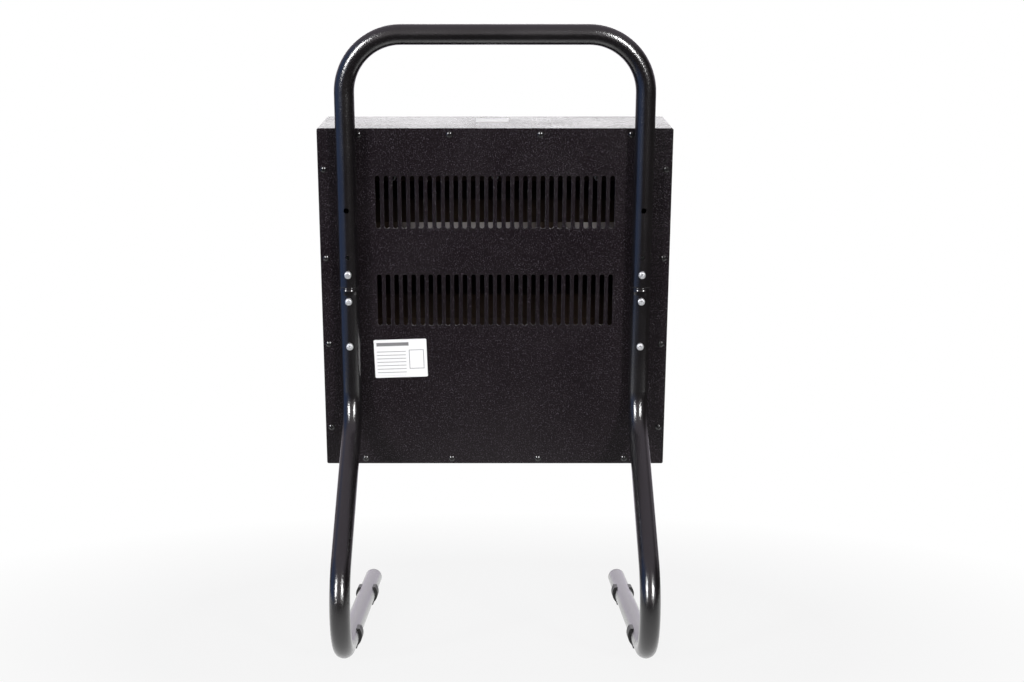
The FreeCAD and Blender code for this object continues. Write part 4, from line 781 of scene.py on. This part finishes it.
white_ink, tree, shader, spot = start_finish("White inlay", roughness=0.45)
ink_cloud = shade_node(tree, "TexNoise", {"Vector": spot, "Scale": 700.0, "Detail": 3.0})
tree.links.new(
    blended(tree, ink_cloud.outputs["Fac"], (0.74, 0.74, 0.72), (0.82, 0.82, 0.81)),
    shader.inputs["Base Color"],
)
embossed(tree, shader, ink_cloud.outputs["Fac"], depth=0.00001)
knob_low, knob_high = unit_box("selector_knob")
knob_middle = (knob_low + knob_high) / 2
facing_front = Matrix((across, upward, -rearward)).transposed().to_4x4()
pointer_width = 0.0018
pointer_length = 0.009
pointer_thick = 0.0006
pointer_sink = 0.00042
pointer_inset = 0.0035
pointer_corner = 0.0006
pointer_z = knob_high.z - pointer_inset - pointer_length / 2
pointer_place = unit @ Vector((knob_middle.x, knob_low.y, pointer_z))
pointer = sticker(pointer_width, pointer_length, pointer_thick, pointer_corner, "inlay")
bmesh.ops.translate(pointer, verts=pointer.verts, vec=(0, 0, -pointer_sink))
bmesh.ops.transform(pointer, matrix=Matrix.Translation(pointer_place) @ facing_front, verts=pointer.verts)
finish_piece(pointer, "knob_pointer", white_ink, "selector", "white_plastic")

# Dial plate: a printed ring under the knob with a mark and a plain number at each setting.
# Black polyester film with a matt hard coat, stuck to the box front.

dial_film = plastic_finish(
    "Matt dial film",
    clean=(0.020, 0.020, 0.021),
    rubbed_and_lit=(0.028, 0.028, 0.029),
    scale=1800.0,
    clean_rough=0.62,
    rubbed_rough=0.5,
    depth=0.00002,
)
dress(dial_film, "dial_plate")
dial_low, dial_high = unit_box("dial_plate")
dial_middle = (dial_low + dial_high) / 2
dial_radius = (dial_high.x - dial_low.x) / 2
knob_radius = (knob_high.x - knob_low.x) / 2
ink_thick = 0.00008
mark_width = 0.0010
mark_length = 0.0022
mark_corner = 0.0003
mark_gap = 0.0016
figure_size = 0.0048
figure_inset = 0.0029
setting_count = 3
setting_step = 60
setting_angles = [math.radians(setting_step * number) for number in range(setting_count)]
dial_place = unit @ Vector((dial_middle.x, dial_low.y, dial_middle.z))
marks = bmesh.new()
for angle in setting_angles:
    mark = sticker(mark_width, mark_length, ink_thick, mark_corner, "inlay")
    bmesh.ops.translate(mark, verts=mark.verts, vec=(0, knob_radius + mark_gap, 0))
    add_copies(marks, mark, [Matrix.Rotation(-angle, 4, "Z")])
for number, angle in enumerate(setting_angles):
    figure = bpy.data.curves.new("figure", "FONT")
    figure.body = str(number)
    figure.size = figure_size
    figure.extrude = ink_thick / 2
    figure.align_x = "CENTER"
    figure.align_y = "CENTER"
    holder = bpy.data.objects.new("figure", figure)
    bpy.context.scene.collection.objects.link(holder)
    drawn = holder.evaluated_get(bpy.context.evaluated_depsgraph_get())
    flat_figure = bpy.data.meshes.new_from_object(drawn)
    figure_radius = dial_radius - figure_inset
    figure_spot = (figure_radius * math.sin(angle), figure_radius * math.cos(angle), ink_thick / 2)
    flat_figure.transform(Matrix.Translation(figure_spot))
    marks.from_mesh(flat_figure)
    bpy.data.objects.remove(holder)
    bpy.data.curves.remove(figure)
    bpy.data.meshes.remove(flat_figure)
bmesh.ops.remove_doubles(marks, verts=marks.verts, dist=1e-7)
bmesh.ops.transform(marks, matrix=Matrix.Translation(dial_place) @ facing_front, verts=marks.verts)
finish_piece(marks, "dial_marks", white_ink, "heater", "white_plastic")

# Tip-over switch: a hinged weight in a case on its own bracket, inside on the box floor.
# Grey moulded case and cover, brass bob on a zinc-plated pin, galvanised bracket.

brass = plated_finish(
    "Turned brass", bright=(0.62, 0.45, 0.20), dull=(0.50, 0.35, 0.15), gloss=0.22, scale=2400.0
)
dress(galvanised, "tip_bracket")
dress(grey_moulding, "tip_case", "tip_cover")
dress(zinc_plate, "tip_pin")
dress(brass, "tip_pendulum")

# Cable gland: a hexagon body through the floor with its locknut, seal and domed cap.
# Grey polyamide mouldings round a black rubber seal.

dress(grey_moulding, "gland_body", "gland_locknut", "gland_cap")
dress(clip_rubber, "gland_seal")

# Terminal block: a strip of clamps on the floor that joins the supply to the inner leads.
# White thermoplastic with brass clamp screws.

white_moulding = plastic_finish(
    "White moulded plastic",
    clean=(0.68, 0.68, 0.66),
    rubbed_and_lit=(0.76, 0.76, 0.74),
    scale=1200.0,
    clean_rough=0.46,
    rubbed_rough=0.36,
    depth=0.00005,
)
dress(white_moulding, "terminal_block")
dress(brass, "terminal_screws")

# Inner leads: single wires from the terminal block to switch, cut-out and lamp holders.
# Stranded copper in a braided glass sleeve, brown, white or blue.


def braided_finish(name, thread, gap):
    finish, tree, shader, spot = start_finish(name)
    weave = shade_node(
        tree,
        "TexVoronoi",
        {"Vector": spot, "Scale": 1500.0, "Randomness": 0.35},
        distance="CHEBYCHEV",
    )
    fluff = shade_node(tree, "TexNoise", {"Vector": spot, "Scale": 300.0, "Detail": 4.0})
    share = times(tree, weave.outputs["Distance"], fluff.outputs["Fac"])
    gap_share = share_of(tree, share, start=0.1, end=0.4)
    tree.links.new(blended(tree, gap_share, thread, gap), shader.inputs["Base Color"])
    tree.links.new(ranged(tree, fluff.outputs["Fac"], low=0.7, high=0.9), shader.inputs["Roughness"])
    embossed(tree, shader, weave.outputs["Distance"], depth=0.00012)
    return finish


brown_braid = braided_finish("Brown braid", (0.13, 0.055, 0.022), (0.06, 0.026, 0.012))
white_braid = braided_finish("White braid", (0.70, 0.68, 0.63), (0.46, 0.44, 0.40))
blue_braid = braided_finish("Blue braid", (0.025, 0.075, 0.28), (0.012, 0.036, 0.14))
dress(brown_braid, "lead_live", "lead_switched")
dress(white_braid, "lead_upper_lamp", "lead_lower_lamp")
dress(blue_braid, "lead_neutral_upper", "lead_neutral_lower")

# Studio: a pale floor that runs back to a white sweep, with a soft panel lamp high in front of it.
# Two strip lamps stand beside the camera. The dark room that the heater mirrors has a soft ceiling,
# a grey wall behind the camera and a cool side.

floor_radius = 0.9
stage = bpy.context.scene
floor_paint, tree, shader, spot = start_finish("Pale studio floor", roughness=0.9)
floor_mottle = shade_node(tree, "TexNoise", {"Vector": spot, "Scale": 2.0, "Detail": 3.0})
tree.links.new(
    blended(tree, floor_mottle.outputs["Fac"], (0.46, 0.46, 0.46), (0.48, 0.48, 0.48)),
    shader.inputs["Base Color"],
)
shader.inputs["Specular IOR Level"].default_value = 0.0
floor_rays = shade_node(tree, "LightPath").outputs
floor_reach = shade_node(tree, "VectorMath", {0: spot}, operation="LENGTH").outputs["Value"]
floor_white = ranged(tree, floor_reach, low=0.88, high=1.0, start=0.4, end=0.85)
floor_depth = shade_node(tree, "SeparateXYZ", {"Vector": spot}).outputs["Y"]
floor_mirrored = ranged(tree, floor_depth, low=1.0, high=0.05, start=0.1, end=0.5)
floor_level = either(tree, floor_rays["Is Camera Ray"], floor_mirrored)
floor_glow = shade_node(tree, "Emission", {"Color": (1, 1, 1, 1), "Strength": floor_level})
by_mirror = either(tree, floor_rays["Is Glossy Ray"], floor_rays["Is Transmission Ray"])
floor_seen = either(tree, times(tree, floor_rays["Is Camera Ray"], floor_white), by_mirror)
floor_mix = shade_node(tree, "MixShader", {0: floor_seen})
tree.links.new(shader.outputs["BSDF"], floor_mix.inputs[1])
tree.links.new(floor_glow.outputs["Emission"], floor_mix.inputs[2])
tree.links.new(floor_mix.outputs["Shader"], tree.nodes["Material Output"].inputs["Surface"])
floor_shape = bmesh.new()
bmesh.ops.create_circle(floor_shape, cap_ends=True, segments=96, radius=floor_radius)
floor_mesh = bpy.data.meshes.new("studio_floor")
floor_shape.to_mesh(floor_mesh)
floor_shape.free()
floor_mesh.materials.append(floor_paint)
studio_floor = bpy.data.objects.new("studio_floor", floor_mesh)
stage.collection.objects.link(studio_floor)

stage.world = bpy.data.worlds.new("White studio")
stage.world.use_nodes = True
tree = stage.world.node_tree
heading = shade_node(tree, "SeparateXYZ", {"Vector": shade_node(tree, "TexCoord").outputs["Generated"]})


def rising(way, start, end):
    return share_of(tree, heading.outputs[way], start, end)


def falling(way, start, end):
    return ranged(tree, heading.outputs[way], 1.0, 0.0, start, end)


dark_tone = (0.042, 0.038, 0.037)
cool_tone = (0.12, 0.20, 0.42)
ceiling_tone = (0.38, 0.34, 0.39)
wall_tone = (0.42, 0.385, 0.40)
toward_side = times(tree, rising("X", 0.25, 0.7), rising("Y", -0.55, -0.25))
toward_front = times(tree, falling("Y", -0.5, -0.2), rising("Z", 0.02, 0.2))
toward_ceiling = either(tree, toward_front, rising("Z", 0.45, 0.75))
toward_wall = times(tree, rising("Y", 0.45, 0.8), rising("Z", -0.2, -0.08))
toward_sweep = falling("Y", -0.93, -0.78)
sweep_tone = blended(tree, rising("Z", 0.24, 0.33), (0.95, 0.90, 1.0), (1.0, 0.97, 0.985))
surround = blended(tree, toward_side, dark_tone, cool_tone)
surround = blended(tree, toward_ceiling, surround, ceiling_tone)
surround = blended(tree, toward_wall, surround, wall_tone)
surround = blended(tree, toward_sweep, surround, sweep_tone)
rays = shade_node(tree, "LightPath").outputs
seen = blended(tree, rays["Is Camera Ray"], surround, (1, 1, 1))
tree.links.new(seen, tree.nodes["Background"].inputs["Color"])
by_mirror = either(tree, rays["Is Glossy Ray"], rays["Is Transmission Ray"])
shown = either(tree, rays["Is Camera Ray"], by_mirror)
tree.links.new(ranged(tree, shown, low=0.5, high=1.0), tree.nodes["Background"].inputs["Strength"])


def studio_lamp(name, power, wide, high, place, aim, spread=180):
    lamp = bpy.data.lights.new(name, "AREA")
    lamp.shape = "RECTANGLE"
    lamp.size = wide
    lamp.size_y = high
    lamp.energy = power
    lamp.spread = math.radians(spread)
    holder = bpy.data.objects.new(name, lamp)
    holder.location = place
    holder.rotation_euler = (Vector(aim) - Vector(place)).to_track_quat("-Z", "Y").to_euler()
    stage.collection.objects.link(holder)


strip_power = 6.2
strip_wide = 0.5
strip_high = 2.0
strip_aim = (0, 0.05, 0.42)
strip_places = {"left_strip": (2.12, 2.71, 1.22), "right_strip": (-1.60, 3.05, 1.22)}
for name, place in strip_places.items():
    studio_lamp(name, strip_power, strip_wide, strip_high, place, strip_aim, spread=36)
studio_lamp("sweep_panel", power=8.4, wide=2.0, high=0.8, place=(0, -2.5, 1.5), aim=(0, 0, 0.6))

camera = bpy.data.cameras.new("photo_camera")
camera.sensor_width = 36.0
camera.lens = 52.03
camera.shift_x = 0.0166
camera_pitch = math.radians(87.44)
camera_holder = bpy.data.objects.new("photo_camera", camera)
camera_holder.location = (0, 1.7500, 0.4192)
camera_holder.rotation_euler = (camera_pitch, 0, math.pi)
stage.collection.objects.link(camera_holder)
stage.camera = camera_holder
stage.view_settings.view_transform = "Standard"
